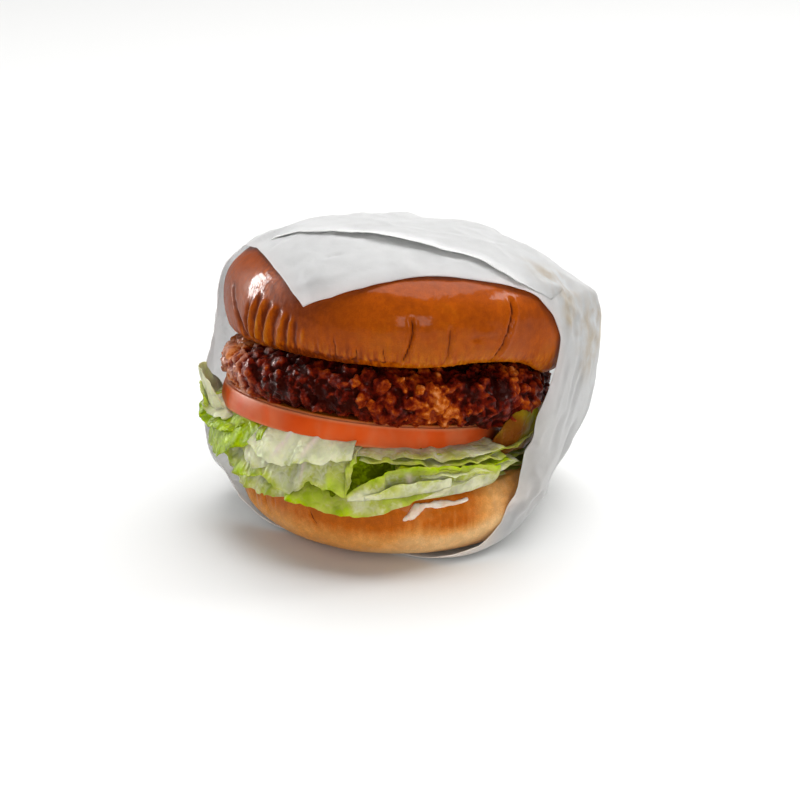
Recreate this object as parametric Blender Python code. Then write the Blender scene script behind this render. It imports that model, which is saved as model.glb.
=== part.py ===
"""A fried chicken burger held in a folded paper wrap. Metres, +Z up, the open front faces -Y.

The bottom bun lies flat. Lettuce piled at the front lifts everything above it, so the tomato, the
chicken and the top bun share one leaning frame, the stack. The paper is a taut pocket round the
back, both sides and the underside, with a folded-back layer and a pointed flap over the top bun.
"""

import math

import bmesh
import bpy
import numpy as np
from mathutils import Vector
from mathutils.bvhtree import BVHTree

MM = 0.001
GAP = 0.4 * MM  # clearance between pieces that touch

# The bottom bun, called the heel: its underside is flat, its top edge lower at the squeezed back.
HEEL_RADIUS = 47.5 * MM
HEEL_FOOT_RADIUS = 35.5 * MM
HEEL_TOP_RADIUS = 43.5 * MM
HEEL_HEIGHT = 18.6 * MM
HEEL_FRONT_RISE = 0.045  # slope of the top, rising towards the front
HEEL_RIGHT_RISE = 0.050  # slope of the top, rising towards the right
HEEL_DISH = 1.2 * MM
HEEL_WIDEST = 0.58  # share of the height where the side bulges most
HEEL_PLACE = (1.6 * MM, -0.2 * MM)
HEEL_SWELL = ((2, 0.010, 0.5), (3, 0.008, 2.0), (5, 0.005, 1.0))  # see waves()
HEEL_SIDES = 48

# The stack: a frame that leans back and a little to the right, with heights counted from it.
STACK_PITCH = math.radians(11.0)
STACK_ROLL = math.radians(2.4)
STACK_HEIGHT = 30.0 * MM

# Tomato slice
TOMATO_RADIUS = 44 * MM
TOMATO_THICKNESS = 7.4 * MM
TOMATO_PLACE = (-7 * MM, -6 * MM)
TOMATO_RIM_BULGE = 1.3 * MM
TOMATO_EDGE = 0.6 * MM
TOMATO_LOBES = ((2, 0.012, 0.3), (3, 0.006, 2.2), (5, 0.009, 1.2))
TOMATO_SIDES = 56

# Fried chicken fillet
CHICKEN_RADIUS = 52.5 * MM
CHICKEN_THICKNESS = 17.5 * MM
CHICKEN_PLACE = (-2.5 * MM, -1.5 * MM)
CHICKEN_TAPER = 0.045  # slope of its upper face, falling to the left
CHICKEN_LUMP = 1.6 * MM
CHICKEN_FLAT = 0.80  # share of the radius before the edge rounds off
CHICKEN_OUTLINE = ((2, 0.018, 2.6), (3, 0.020, 0.4), (7, 0.012, 1.9), (13, 0.009, 0.7))
CHICKEN_SIDES = 52

# Top bun, called the crown
CROWN_RADIUS = 54 * MM
CROWN_CUT_RADIUS = 49 * MM
CROWN_HEIGHT = 34.5 * MM
CROWN_WIDEST = 12 * MM  # height of its widest ring above the cut face
CROWN_PLACE = (-1.2 * MM, -0.5 * MM)
CROWN_ROLL = -math.atan(CHICKEN_TAPER)  # it settles on the chicken's sloping face
CROWN_DROOP = 1.3 * MM  # how far its lower rim sags over the chicken, at the front
CROWN_FULLNESS = 2.25  # power of the dome's curve: 2 is an ellipse, more is boxier
CROWN_SWELL = ((2, 0.010, 0.8), (3, 0.010, 2.9), (5, 0.005, 0.4))
CROWN_SIDES = 56

# Lettuce: its outline is measured from the wrap's middle line
LETTUCE_RADIUS = 53 * MM
LETTUCE_BACK_RADIUS = 40 * MM
LETTUCE_OUTLINE = ((9, 1.2 * MM, 0.5), (14, 0.8 * MM, 2.0))
LETTUCE_CREST = ((11, 0.7 * MM, 0), (17, 0.5 * MM, 1))
LETTUCE_DROOP = 3.2 * MM  # how far its front edge hangs below the heel's top
LETTUCE_TIP_ANGLE = math.radians(195)  # a leaf's tip that reaches further out
LETTUCE_TIP_WIDTH = math.radians(8)
LETTUCE_TIP_REACH = 3 * MM
LETTUCE_STEP_ANGLE = math.radians(48)  # where leaves stand up beside the tomato
LETTUCE_SIDES = 56

# Paper wrap. Its places are given by two angles about WRAP_CENTRE: roll turns about the Y axis, from
# 0 at the top to 90 at the right (+X), and reach turns from 0 at the front (-Y) to 180 at the back.
PAPER_THICKNESS = 0.8 * MM
PAPER_FOLD_THICKNESS = 1.0 * MM  # what the folded-back second layer adds
FLOOR_SNAP = 0.5 * MM  # the outer face lies flat on the floor below this height
WRAP_CENTRE = Vector((0, 0, 46 * MM))
WRAP_COLUMNS = 64
WRAP_FRONT_ROWS = 3
WRAP_BACK_ROWS = 11
WRAP_GAP = 0.6 * MM  # looser than GAP, as the flat facets cut the corners of the food
FLAP_TIP_ROLL = -13
# (roll, reach) along the edge of the mouth, in degrees
MOUTH = (
    (-180, 52), (-142, 59), (-123, 66), (-112, 72), (-71, 72.5), (-57, 78), (-53, 83), (-43, 73.5),
    (-30, 55), (FLAP_TIP_ROLL, 38.5), (10, 45), (31, 61), (46, 75), (61, 87), (71, 93.5), (83, 86),
    (104, 73), (128, 71.5), (143, 57.5), (180, 52),
)
# (roll, reach) along the front edge of the folded-back layer on the top
FOLD = ((-38, 78), (-23, 73.5), (6, 72.5), (20, 72.5), (38, 79.5), (55, 83))
FOLD_FADE = 6.0  # degrees of roll over which that layer fades out at its ends
# Corners of the pocket that stand clear of the food, on the right, the left and the back
POCKET_CORNERS = tuple(
    Vector(corner) * MM
    for corner in (
        (55, 38, 66), (53, 38, 32), (46, 35, 15), (40, 17, 1.2), (43.5, -17, 1.2), (37, -30, 1.2),
        (-54, 30, 62), (-53, 30, 28), (-48, 28, 12), (-42, 18, 1.2), (-44, -14, 4),
        (30, 58, 50), (-30, 57, 50), (28, 60, 16), (-28, 60, 16), (26, 46, 1.2), (-26, 46, 1.2),
        (0, 58, 2),
    )
)
PLEATS = 9
PLEAT_DEPTH = 1.6 * MM
PLEAT_START = 105  # reach, in degrees, where the gathers begin


def make_material(name, colour, roughness):
    """A Principled material with one colour and roughness."""
    material = bpy.data.materials.new(name)
    material.use_nodes = True
    shader = material.node_tree.nodes["Principled BSDF"]
    shader.inputs["Base Color"].default_value = (*colour, 1)
    shader.inputs["Roughness"].default_value = roughness
    return material


def quarter(level, upright, steps, power=2.0):
    """(radius, height) points on a quarter superellipse, from its level end to its upright end."""
    turns = [math.pi / 2 * i / steps for i in range(steps + 1)]
    return [
        (
            level[0] + (upright[0] - level[0]) * math.sin(t) ** (2 / power),
            upright[1] + (level[1] - upright[1]) * max(math.cos(t), 0.0) ** (2 / power),
        )
        for t in turns
    ]


def add_object(name, mesh, material, parent=None):
    """Links a new object and gives it its material and its parent."""
    obj = bpy.data.objects.new(name, mesh)
    bpy.context.scene.collection.objects.link(obj)
    obj.data.materials.append(material)
    obj.parent = parent
    return obj


def turn(name, profile, sides, reshape, material, parent=None):
    """Spins a profile, given from the top of the axis to the bottom, then reshapes each point."""
    bm = bmesh.new()
    points = [bm.verts.new((radius, 0, height)) for radius, height in profile]
    for first, second in zip(points, points[1:]):
        bm.edges.new((first, second))
    bmesh.ops.spin(
        bm, geom=bm.verts[:] + bm.edges[:], cent=(0, 0, 0), axis=(0, 0, 1),
        angle=2 * math.pi, steps=sides, use_duplicate=False,
    )
    bmesh.ops.remove_doubles(bm, verts=bm.verts, dist=0.001 * MM)
    for vert in bm.verts:
        vert.co = reshape(vert.co)
    bmesh.ops.recalc_face_normals(bm, faces=bm.faces)
    mesh = bpy.data.meshes.new(name)
    bm.to_mesh(mesh)
    bm.free()
    mesh.shade_smooth()
    return add_object(name, mesh, material, parent)


def waves(angle, terms):
    """A sum of cosines: terms holds (count round the turn, size, phase)."""
    return sum(size * math.cos(count * angle + phase) for count, size, phase in terms)


def heel_top(x, y):
    """Height of the heel's cut face above its underside, from the heel's own axis."""
    inside = max(0.0, 1 - (x * x + y * y) / HEEL_TOP_RADIUS**2)
    return HEEL_HEIGHT - HEEL_FRONT_RISE * y + HEEL_RIGHT_RISE * x - HEEL_DISH * inside


def make_heel(material):
    """The bottom bun, standing on the paper."""
    widest = HEEL_WIDEST * HEEL_HEIGHT
    rim = quarter((HEEL_TOP_RADIUS, HEEL_HEIGHT), (HEEL_RADIUS, widest), 4)
    foot = quarter((HEEL_FOOT_RADIUS, 0), (HEEL_RADIUS, widest), 5, 2.2)[::-1]
    face = [(HEEL_TOP_RADIUS * share, HEEL_HEIGHT) for share in (0, 0.45, 0.8)]
    profile = face + rim + foot[1:] + [(0, 0)]

    def reshape(point):
        angle = math.atan2(point.y, point.x)
        swell = 1 + waves(angle, HEEL_SWELL)
        x, y = point.x * swell, point.y * swell
        return Vector((x, y, point.z * heel_top(x, y) / HEEL_HEIGHT))

    heel = turn("bun_heel", profile, HEEL_SIDES, reshape, material)
    heel.location = (*HEEL_PLACE, PAPER_THICKNESS + GAP)
    return heel


def make_stack():
    """The empty that carries the leaning pieces."""
    stack = bpy.data.objects.new("stack", None)
    bpy.context.scene.collection.objects.link(stack)
    stack.location = (0, 0, STACK_HEIGHT)
    stack.rotation_euler = (-STACK_PITCH, STACK_ROLL, 0)
    return stack


def make_tomato(material, stack):
    """A thick slice with its skin round the edge."""
    half = TOMATO_THICKNESS / 2
    rim = TOMATO_RADIUS - TOMATO_RIM_BULGE
    profile = [(0, half), (rim - TOMATO_EDGE, half), (rim, half - TOMATO_EDGE), (TOMATO_RADIUS, 0)]
    profile += [(radius, -height) for radius, height in profile[2::-1]]

    def reshape(point):
        angle = math.atan2(point.y, point.x)
        lobes = 1 + waves(angle, TOMATO_LOBES)
        return Vector((point.x * lobes, point.y * lobes, point.z))

    tomato = turn("tomato_slice", profile, TOMATO_SIDES, reshape, material, stack)
    tomato.location = (*TOMATO_PLACE, half)
    return tomato


def make_chicken(material, stack):
    """The fillet: a lumpy disc with an uneven outline and a rounded edge."""
    half = CHICKEN_THICKNESS / 2
    core = CHICKEN_RADIUS * CHICKEN_FLAT
    edge = quarter((core, half), (CHICKEN_RADIUS, 0), 5, 2.3)
    face = [(core * share, half) for share in (0, 0.4, 0.75)]
    upper = face + edge
    profile = upper + [(radius, -height) for radius, height in upper[-2::-1]]

    def reshape(point):
        angle = math.atan2(point.y, point.x)
        reach = math.hypot(point.x, point.y) / CHICKEN_RADIUS
        outline = waves(angle, CHICKEN_OUTLINE)
        lump = math.sin(5 * angle + 9 * reach) * math.cos(8 * reach + 2 * angle + 1)
        sink = CHICKEN_LUMP * 0.5 * (1 - lump) * min(1, reach * 1.5)
        x, y = point.x * (1 + outline), point.y * (1 + outline)
        taper = CHICKEN_TAPER * x * (0.5 + 0.5 * point.z / half)
        return Vector((x, y, point.z * (1 - sink / half) + taper))

    chicken = turn("chicken_fillet", profile, CHICKEN_SIDES, reshape, material, stack)
    chicken.location = (*CHICKEN_PLACE, TOMATO_THICKNESS + GAP + half)
    return chicken


def make_crown(material, stack):
    """The top bun: a flattened dome on a bulging side, with a level cut face."""
    dome = quarter((0, CROWN_HEIGHT), (CROWN_RADIUS, CROWN_WIDEST), 10, CROWN_FULLNESS)
    side = quarter((CROWN_CUT_RADIUS, 0), (CROWN_RADIUS, CROWN_WIDEST), 4)[::-1]
    cut = [(CROWN_CUT_RADIUS * share, 0) for share in (0.86, 0.45, 0)]
    profile = dome + side[1:] + cut

    def reshape(point):
        angle = math.atan2(point.y, point.x)
        swell = 1 + waves(angle, CROWN_SWELL)
        rim = min(1, math.hypot(point.x, point.y) / CROWN_CUT_RADIUS)
        front = 0.5 - 0.5 * math.sin(angle)
        sag = CROWN_DROOP * front * rim**12 * max(0, 1 - point.z / (2 * CROWN_WIDEST))
        return Vector((point.x * swell, point.y * swell, point.z - sag))

    crown = turn("bun_crown", profile, CROWN_SIDES, reshape, material, stack)
    crown.location = (*CROWN_PLACE, TOMATO_THICKNESS + CHICKEN_THICKNESS + 3 * GAP)
    crown.rotation_euler.y = CROWN_ROLL
    return crown


def stack_level(stack, x, y, height):
    """World height, above the point x, y, of the stack's plane at that height."""
    normal = stack.matrix_world.to_3x3() @ Vector((0, 0, 1))
    origin = stack.matrix_world @ Vector((0, 0, height))
    return origin.z - (normal.x * (x - origin.x) + normal.y * (y - origin.y)) / normal.z


def lettuce_reach(angle):
    """Distance from the wrap's middle line to the lettuce's outline, shorter at the pinched back."""
    back = max(0.0, math.sin(angle)) ** 1.5
    from_tip = math.remainder(angle - LETTUCE_TIP_ANGLE, 2 * math.pi) / LETTUCE_TIP_WIDTH
    reach = LETTUCE_RADIUS - (LETTUCE_RADIUS - LETTUCE_BACK_RADIUS) * back
    return reach + waves(angle, LETTUCE_OUTLINE) + LETTUCE_TIP_REACH * math.exp(-from_tip**2)


def lettuce_step(angle):
    """How far the lettuce rises beside the tomato: up to the chicken on the right, and only there."""
    right = max(0.0, math.cos(angle - LETTUCE_STEP_ANGLE))
    return (TOMATO_THICKNESS - 1.0 * MM) * min(1.0, max(0.0, (right - 0.8) / 0.14))


def make_lettuce(material, stack):
    """The pile of leaves out to its uneven outline: a wedge, thick at the front, thin at the back."""
    centre = Vector((*TOMATO_PLACE, 0))

    def under_tomato(x, y):
        return stack_level(stack, x, y, -GAP)

    def on_heel(x, y):
        return PAPER_THICKNESS + heel_top(x - HEEL_PLACE[0], y - HEEL_PLACE[1]) + 2 * GAP

    def crest(x, y, angle):
        side = stack_level(stack, x, y, -GAP - 0.8 * MM + lettuce_step(angle))
        return side + waves(angle, LETTUCE_CREST)

    def column(angle):
        """Points down one side of the pile, from under the tomato, round the rim, to the heel."""
        reach = lettuce_reach(angle)
        rim = Vector((reach * math.cos(angle), reach * math.sin(angle), 0))
        outward = rim - centre
        bed = min(1.0, (TOMATO_RADIUS + 1.6 * MM) / outward.length / 0.93) * 0.93
        points = [centre + outward * bed * share for share in (0.5, 0.985, 1.0)]
        for point in points[:2]:
            point.z = under_tomato(point.x, point.y)
        points[2].z = crest(*points[2].xy, angle)
        droop = LETTUCE_DROOP * max(0, -math.sin(angle + 0.5))
        for share, height in ((0.985, 0.93), (1.0, 0.62), (0.99, 0.25), (0.965, 0.04)):
            point = rim * share
            bottom = on_heel(point.x, point.y) - droop
            point.z = bottom + (crest(point.x, point.y, angle) - bottom) * height
            points.append(point)
        for share in (0.88, 0.5):
            point = rim * share
            point.z = on_heel(point.x, point.y)
            points.append(point)
        return points

    columns = [column(2 * math.pi * side / LETTUCE_SIDES) for side in range(LETTUCE_SIDES)]
    rings = list(zip(*columns))
    points = [Vector((*centre.xy, under_tomato(*centre.xy)))]
    points += [point for ring in rings for point in ring]
    points.append(Vector((0, 0, on_heel(0, 0))))
    mesh = bpy.data.meshes.new("lettuce")
    mesh.from_pydata(points, [], ring_faces(len(rings), LETTUCE_SIDES))
    mesh.shade_smooth()
    return add_object("lettuce", mesh, material)


def ring_faces(rings, sides):
    """Faces of a closed skin: a first pole, rings that turn anticlockwise going down, a last pole."""
    last = rings * sides + 1
    faces = []
    for side in range(sides):
        after = (side + 1) % sides
        faces.append((0, 1 + side, 1 + after))
        for ring in range(rings - 1):
            top, low = 1 + ring * sides, 1 + (ring + 1) * sides
            faces.append((top + side, low + side, low + after, top + after))
        low = 1 + (rings - 1) * sides
        faces.append((last, low + after, low + side))
    return faces


def wrap_direction(roll, reach):
    """Unit vector from the wrap's centre for the two angles, in degrees."""
    roll, reach = math.radians(roll), math.radians(reach)
    return Vector(
        (math.sin(reach) * math.sin(roll), -math.cos(reach), math.sin(reach) * math.cos(roll))
    )


def along(outline, roll):
    """Reach of an outline at that roll, straight between its points."""
    return float(np.interp(roll, [point[0] for point in outline], [point[1] for point in outline]))


def fold_share(roll):
    """1 where the folded-back layer lies on the top, fading to 0 at its two ends."""
    left, right = FOLD[0][0], FOLD[-1][0]
    return min(1.0, max(0.0, min(roll - left, right - roll) / FOLD_FADE))


def taut_skin(pieces):
    """The tight skin the paper follows: the convex hull of the food and the pocket's corners."""
    bm = bmesh.new()
    bpy.context.view_layer.update()
    for piece in pieces:
        for vert in piece.data.vertices:
            bm.verts.new(piece.matrix_world @ vert.co)
    for corner in POCKET_CORNERS:
        bm.verts.new(corner)
    bmesh.ops.convex_hull(bm, input=bm.verts)
    skin = BVHTree.FromBMesh(bm)
    bm.free()
    return skin


def pleat(roll, reach):
    """Height of the gathers that run to the middle of the back, deeper above than below."""
    gathered = min(1.0, max(0.0, (reach - PLEAT_START) / 35)) * min(1.0, (180 - reach) / 25)
    depth = PLEAT_DEPTH * (0.7 + 0.3 * math.cos(math.radians(roll)))
    return depth * gathered * abs(math.sin(math.radians(roll * PLEATS / 2)))


def wrap_skin(points, rows):
    """Faces of the wrap's inner skin: columns of rows from the mouth to the pole at the back."""
    faces = []
    pole = len(points) - 1
    for column in range(WRAP_COLUMNS):
        here, there = column * rows, (column + 1) % WRAP_COLUMNS * rows
        for row in range(rows - 1):
            faces.append((there + row, here + row, here + row + 1, there + row + 1))
        faces.append((there + rows - 1, here + rows - 1, pole))
    return faces


def clear_food(inner, outer, rows, pieces):
    """Pushes the skins out, or sideways on the floor, where the food comes closer than the gap."""
    reaches = []
    for piece in pieces:
        corners = [piece.matrix_world @ vert.co - WRAP_CENTRE for vert in piece.data.vertices]
        reaches += corners
        reaches += [(corners[a] + corners[b]) / 2 for a, b in piece.data.edge_keys]
    faces = wrap_skin(inner, rows)
    for _ in range(4):
        skin = BVHTree.FromPolygons(inner, faces)
        pushes = {}
        for reach in reaches:
            hit, _, face, distance = skin.ray_cast(WRAP_CENTRE, reach.normalized())
            lack = reach.length + WRAP_GAP - distance if hit else 0
            for index in faces[face] if lack > 0 else ():
                pushes[index] = max(pushes.get(index, 0), lack)
        for index, push in pushes.items():
            outward = inner[index] - WRAP_CENTRE
            if inner[index].z <= PAPER_THICKNESS:
                outward.z = 0
            outward.length = push
            inner[index] += outward
            outer[index] += outward


def wrap_reaches(roll):
    """Reaches of one column's points: the mouth, the fold's front edge, then even steps to the back."""
    mouth = along(MOUTH, roll)
    fold = max(mouth + 3, along(FOLD, roll) if fold_share(roll) else mouth + 6)
    step = fold + 1.2
    front = [mouth + (fold - mouth) * row / WRAP_FRONT_ROWS for row in range(WRAP_FRONT_ROWS + 1)]
    return front + [step + (180 - step) * row / WRAP_BACK_ROWS for row in range(WRAP_BACK_ROWS)]


def make_wrap(material, pieces):
    """The paper: one skin with an inner and an outer face, thicker where it lies folded double."""
    skin = taut_skin(pieces)
    inner, outer = [], []

    def add_point(roll, reach, doubled=0.0):
        direction = wrap_direction(roll, reach)
        hit = skin.ray_cast(WRAP_CENTRE + direction, -direction)[0]
        inside = (hit - WRAP_CENTRE).length + WRAP_GAP + pleat(roll, reach)
        inner.append(WRAP_CENTRE + direction * inside)
        inner[-1].z = max(inner[-1].z, PAPER_THICKNESS)
        outer.append(WRAP_CENTRE + direction * (inside + PAPER_THICKNESS + doubled))

    for column in range(WRAP_COLUMNS):
        roll = (FLAP_TIP_ROLL + 180 + 360 * column / WRAP_COLUMNS) % 360 - 180
        for row, reach in enumerate(wrap_reaches(roll)):
            add_point(roll, reach, PAPER_FOLD_THICKNESS * fold_share(roll) * (row > WRAP_FRONT_ROWS))
    add_point(0, 180)
    rows = WRAP_FRONT_ROWS + 1 + WRAP_BACK_ROWS
    clear_food(inner, outer, rows, pieces)
    for inside, outside in zip(inner, outer):
        inside.z = max(inside.z, PAPER_THICKNESS)
        outside.z = outside.z if outside.z > FLOOR_SNAP else 0.0

    count = len(inner)
    faces = wrap_skin(inner, rows)
    faces += [tuple(count + index for index in reversed(face)) for face in faces]
    for column in range(WRAP_COLUMNS):
        here, there = column * rows, (column + 1) % WRAP_COLUMNS * rows
        faces.append((here, there, count + there, count + here))
    mesh = bpy.data.meshes.new("paper_wrap")
    mesh.from_pydata(inner + outer, [], faces)
    return add_object("paper_wrap", mesh, material)


def stand_on_origin(objects):
    """Moves the objects so that the middle of their box lies over the origin."""
    bpy.context.view_layer.update()
    points = [obj.matrix_world @ vert.co for obj in objects for vert in obj.data.vertices]
    shift = Vector(
        [-(min(p[i] for p in points) + max(p[i] for p in points)) / 2 for i in range(2)] + [0]
    )
    for obj in bpy.context.scene.objects:
        if obj.parent is None:
            obj.location += shift
    bpy.context.view_layer.update()


def main():
    """Builds the burger from the paper's floor up."""
    for obj in list(bpy.data.objects):
        bpy.data.objects.remove(obj)
    crust = make_material("bun_crust", (0.30, 0.085, 0.012), 0.35)
    pale_crust = make_material("bun_pale_crust", (0.42, 0.18, 0.05), 0.5)
    fried = make_material("fried_crust", (0.14, 0.035, 0.01), 0.45)
    tomato_red = make_material("tomato_red", (0.50, 0.10, 0.03), 0.3)
    leaf = make_material("lettuce_leaf", (0.42, 0.50, 0.16), 0.45)
    paper = make_material("wrap_paper", (0.78, 0.78, 0.76), 0.6)

    stack = make_stack()
    bpy.context.view_layer.update()
    food = [
        make_heel(pale_crust),
        make_lettuce(leaf, stack),
        make_tomato(tomato_red, stack),
        make_chicken(fried, stack),
        make_crown(crust, stack),
    ]
    wrap = make_wrap(paper, food)
    stand_on_origin([*food, wrap])


main()
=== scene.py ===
"""A fried chicken burger in its paper wrap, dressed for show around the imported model.

Metres, +Z up, the open front faces -Y. Sizes that repeat the solids are kept in the same words as
the part has them: a bottom bun called the heel, a top bun called the crown, and a leaning stack
that carries the tomato, the chicken and the crown.
"""

import itertools
import logging
import math
from dataclasses import dataclass, field
from enum import Enum
from typing import Any

import bmesh
import bpy
import numpy as np
from bpy.types import Material, Mesh, Node, NodeSocket, NodeTree, Object
from mathutils import Euler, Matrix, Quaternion, Vector
from mathutils.bvhtree import BVHTree


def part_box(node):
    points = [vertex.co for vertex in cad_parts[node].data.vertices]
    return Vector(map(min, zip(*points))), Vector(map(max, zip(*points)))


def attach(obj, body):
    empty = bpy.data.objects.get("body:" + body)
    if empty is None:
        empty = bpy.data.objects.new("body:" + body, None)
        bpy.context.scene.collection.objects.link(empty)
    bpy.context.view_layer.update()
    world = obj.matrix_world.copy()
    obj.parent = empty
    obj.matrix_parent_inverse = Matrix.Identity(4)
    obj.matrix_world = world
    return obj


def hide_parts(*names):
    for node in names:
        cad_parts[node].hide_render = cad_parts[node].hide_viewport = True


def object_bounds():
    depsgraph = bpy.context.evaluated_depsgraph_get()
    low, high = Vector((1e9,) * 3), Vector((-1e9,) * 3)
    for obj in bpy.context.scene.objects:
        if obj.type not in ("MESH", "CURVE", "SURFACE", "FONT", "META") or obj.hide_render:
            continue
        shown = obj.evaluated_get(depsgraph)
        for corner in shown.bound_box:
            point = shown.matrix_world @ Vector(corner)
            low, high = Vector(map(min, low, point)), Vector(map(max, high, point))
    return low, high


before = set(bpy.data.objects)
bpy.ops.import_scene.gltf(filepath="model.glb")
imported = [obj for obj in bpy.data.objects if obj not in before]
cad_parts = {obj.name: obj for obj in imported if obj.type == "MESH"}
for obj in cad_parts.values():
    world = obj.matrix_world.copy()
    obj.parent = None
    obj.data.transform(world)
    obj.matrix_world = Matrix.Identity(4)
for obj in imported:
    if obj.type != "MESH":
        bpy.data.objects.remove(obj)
CAD_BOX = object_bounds()

MM = 0.001
TAU = 2 * math.pi
Array = np.ndarray
Colour = tuple[float, float, float, float]
LOG = logging.getLogger("burger")


# ---- numbers that vary over a surface


def smooth(low: float, high: float, values: Array) -> Array:
    """Rises from 0 at low to 1 at high, gently at both ends. It falls where high is below low."""
    share = np.clip((values - low) / (high - low), 0.0, 1.0)
    return share * share * (3 - 2 * share)


def bump(values: Array, centre: float, width: float) -> Array:
    """A soft hill of height 1 about centre, down to a third at the width."""
    return np.exp(-(((values - centre) / width) ** 2))


def turned(angles: Array, centre: float = 0.0) -> Array:
    """Degrees from a direction to each angle, from -180 to 180."""
    return (angles - centre + 180.0) % 360.0 - 180.0


def about(angles: Array, centre: float, width: float) -> Array:
    """A soft hill of height 1 round a direction, both in degrees."""
    return bump(turned(angles, centre), 0, width)


def drawn_out(first: Array, second: Array) -> Array:
    """Places for noise that is stretched: two numbers for each point, and a zero."""
    return np.stack([first, second, np.zeros_like(first)], -1)


def read_off(places: Array, line: tuple[tuple[float, float], ...]) -> Array:
    """The height of a line through (place, height) points, at each place."""
    return np.interp(places, *np.array(line, dtype=float).T)


def waves(angle: Array, terms: tuple[tuple[float, float, float], ...]) -> Array:
    """A sum of cosines: terms hold (count round the turn, size, phase)."""
    return sum(size * np.cos(count * angle + phase) for count, size, phase in terms)


def blur(grid: Array, sigma: float, axis: int, closed: bool) -> Array:
    """Gaussian smoothing of a grid of numbers along one axis.

    Args:
        grid: the numbers, as rows and columns.
        sigma: how far the smoothing reaches, in steps of the grid.
        axis: 0 to smooth down the rows, 1 along them.
        closed: True where the axis comes round to its own start.

    Returns:
        The smoothed grid, of the same shape.
    """
    reach = int(3 * sigma) + 1
    steps = np.arange(-reach, reach + 1)
    weights = np.exp(-0.5 * (steps / sigma) ** 2)
    pads = [(0, 0)] * grid.ndim
    pads[axis] = (reach, reach)
    padded = np.pad(grid, pads, mode="wrap" if closed else "edge")
    size = grid.shape[axis]
    parts = [w * np.take(padded, range(i, i + size), axis) for i, w in enumerate(weights)]
    return sum(parts) / weights.sum()


class Noise:
    """Smooth random hills over space, the same on every run."""

    def __init__(self, seed: int) -> None:
        """Draws the table of directions from the seed."""
        rng = np.random.default_rng(seed)
        self.order = rng.permutation(256)
        slopes = rng.normal(size=(256, 3))
        self.slopes = slopes / np.linalg.norm(slopes, axis=1, keepdims=True)

    def hills(self, points: Array, size: float) -> Array:
        """Noise from about -1 to 1.

        Args:
            points: places in metres, with x, y, z on the last axis.
            size: distance from hill to hill, in metres.

        Returns:
            One number for each point.
        """
        cells = np.floor(points / size)
        inside = points / size - cells
        cells = cells.astype(int)
        fade = inside**3 * (inside * (inside * 6 - 15) + 10)
        total = np.zeros(points.shape[:-1])
        for corner in itertools.product((0, 1), repeat=3):
            step = np.array(corner)
            i, j, k = np.moveaxis((cells + step) & 255, -1, 0)
            pick = self.order[(self.order[(self.order[i] + j) & 255] + k) & 255]
            slope = ((inside - step) * self.slopes[pick]).sum(-1)
            total += slope * np.prod(np.where(step, fade, 1 - fade), axis=-1)
        return total * 1.7

    def rough(self, points: Array, size: float, octaves: int = 3, fall: float = 0.5) -> Array:
        """Hills with smaller hills on them, from about -1 to 1."""
        parts = [fall**i * self.hills(points, size / 2**i) for i in range(octaves)]
        return sum(parts) / sum(fall**i for i in range(octaves))

    def ridges(self, points: Array, size: float) -> Array:
        """Sharp crests between rounded hollows, from 0 to 1."""
        return 1 - np.minimum(1.0, np.abs(self.hills(points, size)) * 2.2)


# ---- mesh making


def grid_faces(rows: int, columns: int, closed: bool = False, start: int = 0) -> Array:
    """Quads of a grid of points that are numbered row by row, outward for rows that go down.

    Args:
        rows: number of rows of points.
        columns: number of points in a row.
        closed: True where the last column joins the first.
        start: number of the grid's first point.

    Returns:
        Four point numbers for each face.
    """
    row = np.arange(rows - 1)[:, None] * columns + start
    here = np.arange(columns if closed else columns - 1)
    there = (here + 1) % columns
    quads = np.stack([row + here, row + columns + here, row + columns + there, row + there], -1)
    return quads.reshape(-1, 4)


def fan_faces(pole: int, ring: Array, last: bool) -> Array:
    """Triangles from a pole to a closed ring, written as quads whose last corner is doubled."""
    here, there = ring, np.roll(ring, -1)
    if last:
        here, there = there, here
    return np.stack([np.full_like(ring, pole), here, there, there], -1)


def turned_faces(rows: int, columns: int) -> Array:
    """Faces of a turned form: its rings from the top down, then its upper and lower poles."""
    count = rows * columns
    return np.concatenate([
        grid_faces(rows, columns, closed=True),
        fan_faces(count, np.arange(columns), last=False),
        fan_faces(count + 1, np.arange(count - columns, count), last=True),
    ])


def face_normals(points: Array, faces: Array) -> Array:
    """Unit normal of each point, from the faces round it."""
    a, b, c, d = (points[faces[:, i]] for i in range(4))
    across = np.cross(c - a, d - b)
    flat = faces[:, 2] == faces[:, 3]
    across[flat] = np.cross(b[flat] - a[flat], c[flat] - a[flat])
    total = np.zeros_like(points)
    for i in range(4):
        np.add.at(total, faces[:, i], across)
    return total / np.maximum(np.linalg.norm(total, axis=1, keepdims=True), 1e-12)


def shell(front: Array, back: Array, faces: Array) -> tuple[Array, Array]:
    """Closes a sheet: its front, its back turned round, and a rim along every open edge.

    Args:
        front: points of the face that looks outwards.
        back: the same points on the other side of the sheet.
        faces: four point numbers for each face of the front.

    Returns:
        All the points, and all the faces.
    """
    count = len(front)
    edges = {}
    for face in faces.tolist():
        for start, end in zip(face, face[1:] + face[:1]):
            if start != end:
                edges[(start, end)] = True
    rim = [(b, a, count + a, count + b) for a, b in edges if (b, a) not in edges]
    behind = faces[:, [1, 0, 3, 2]].copy()
    flat = faces[:, 2] == faces[:, 3]
    behind[flat] = faces[flat][:, [0, 2, 1, 1]]
    sides = np.array(rim, dtype=int).reshape(-1, 4)
    return np.concatenate([front, back]), np.concatenate([faces, behind + count, sides])


def carry(mesh: Mesh, layers: dict[str, Array]) -> None:
    """Puts numbers on a mesh's points, by attribute name, for its finish to read."""
    for layer, values in layers.items():
        attribute = mesh.attributes.new(layer, "FLOAT", "POINT")
        attribute.data.foreach_set("value", np.asarray(values, dtype=np.float32).ravel())


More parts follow.
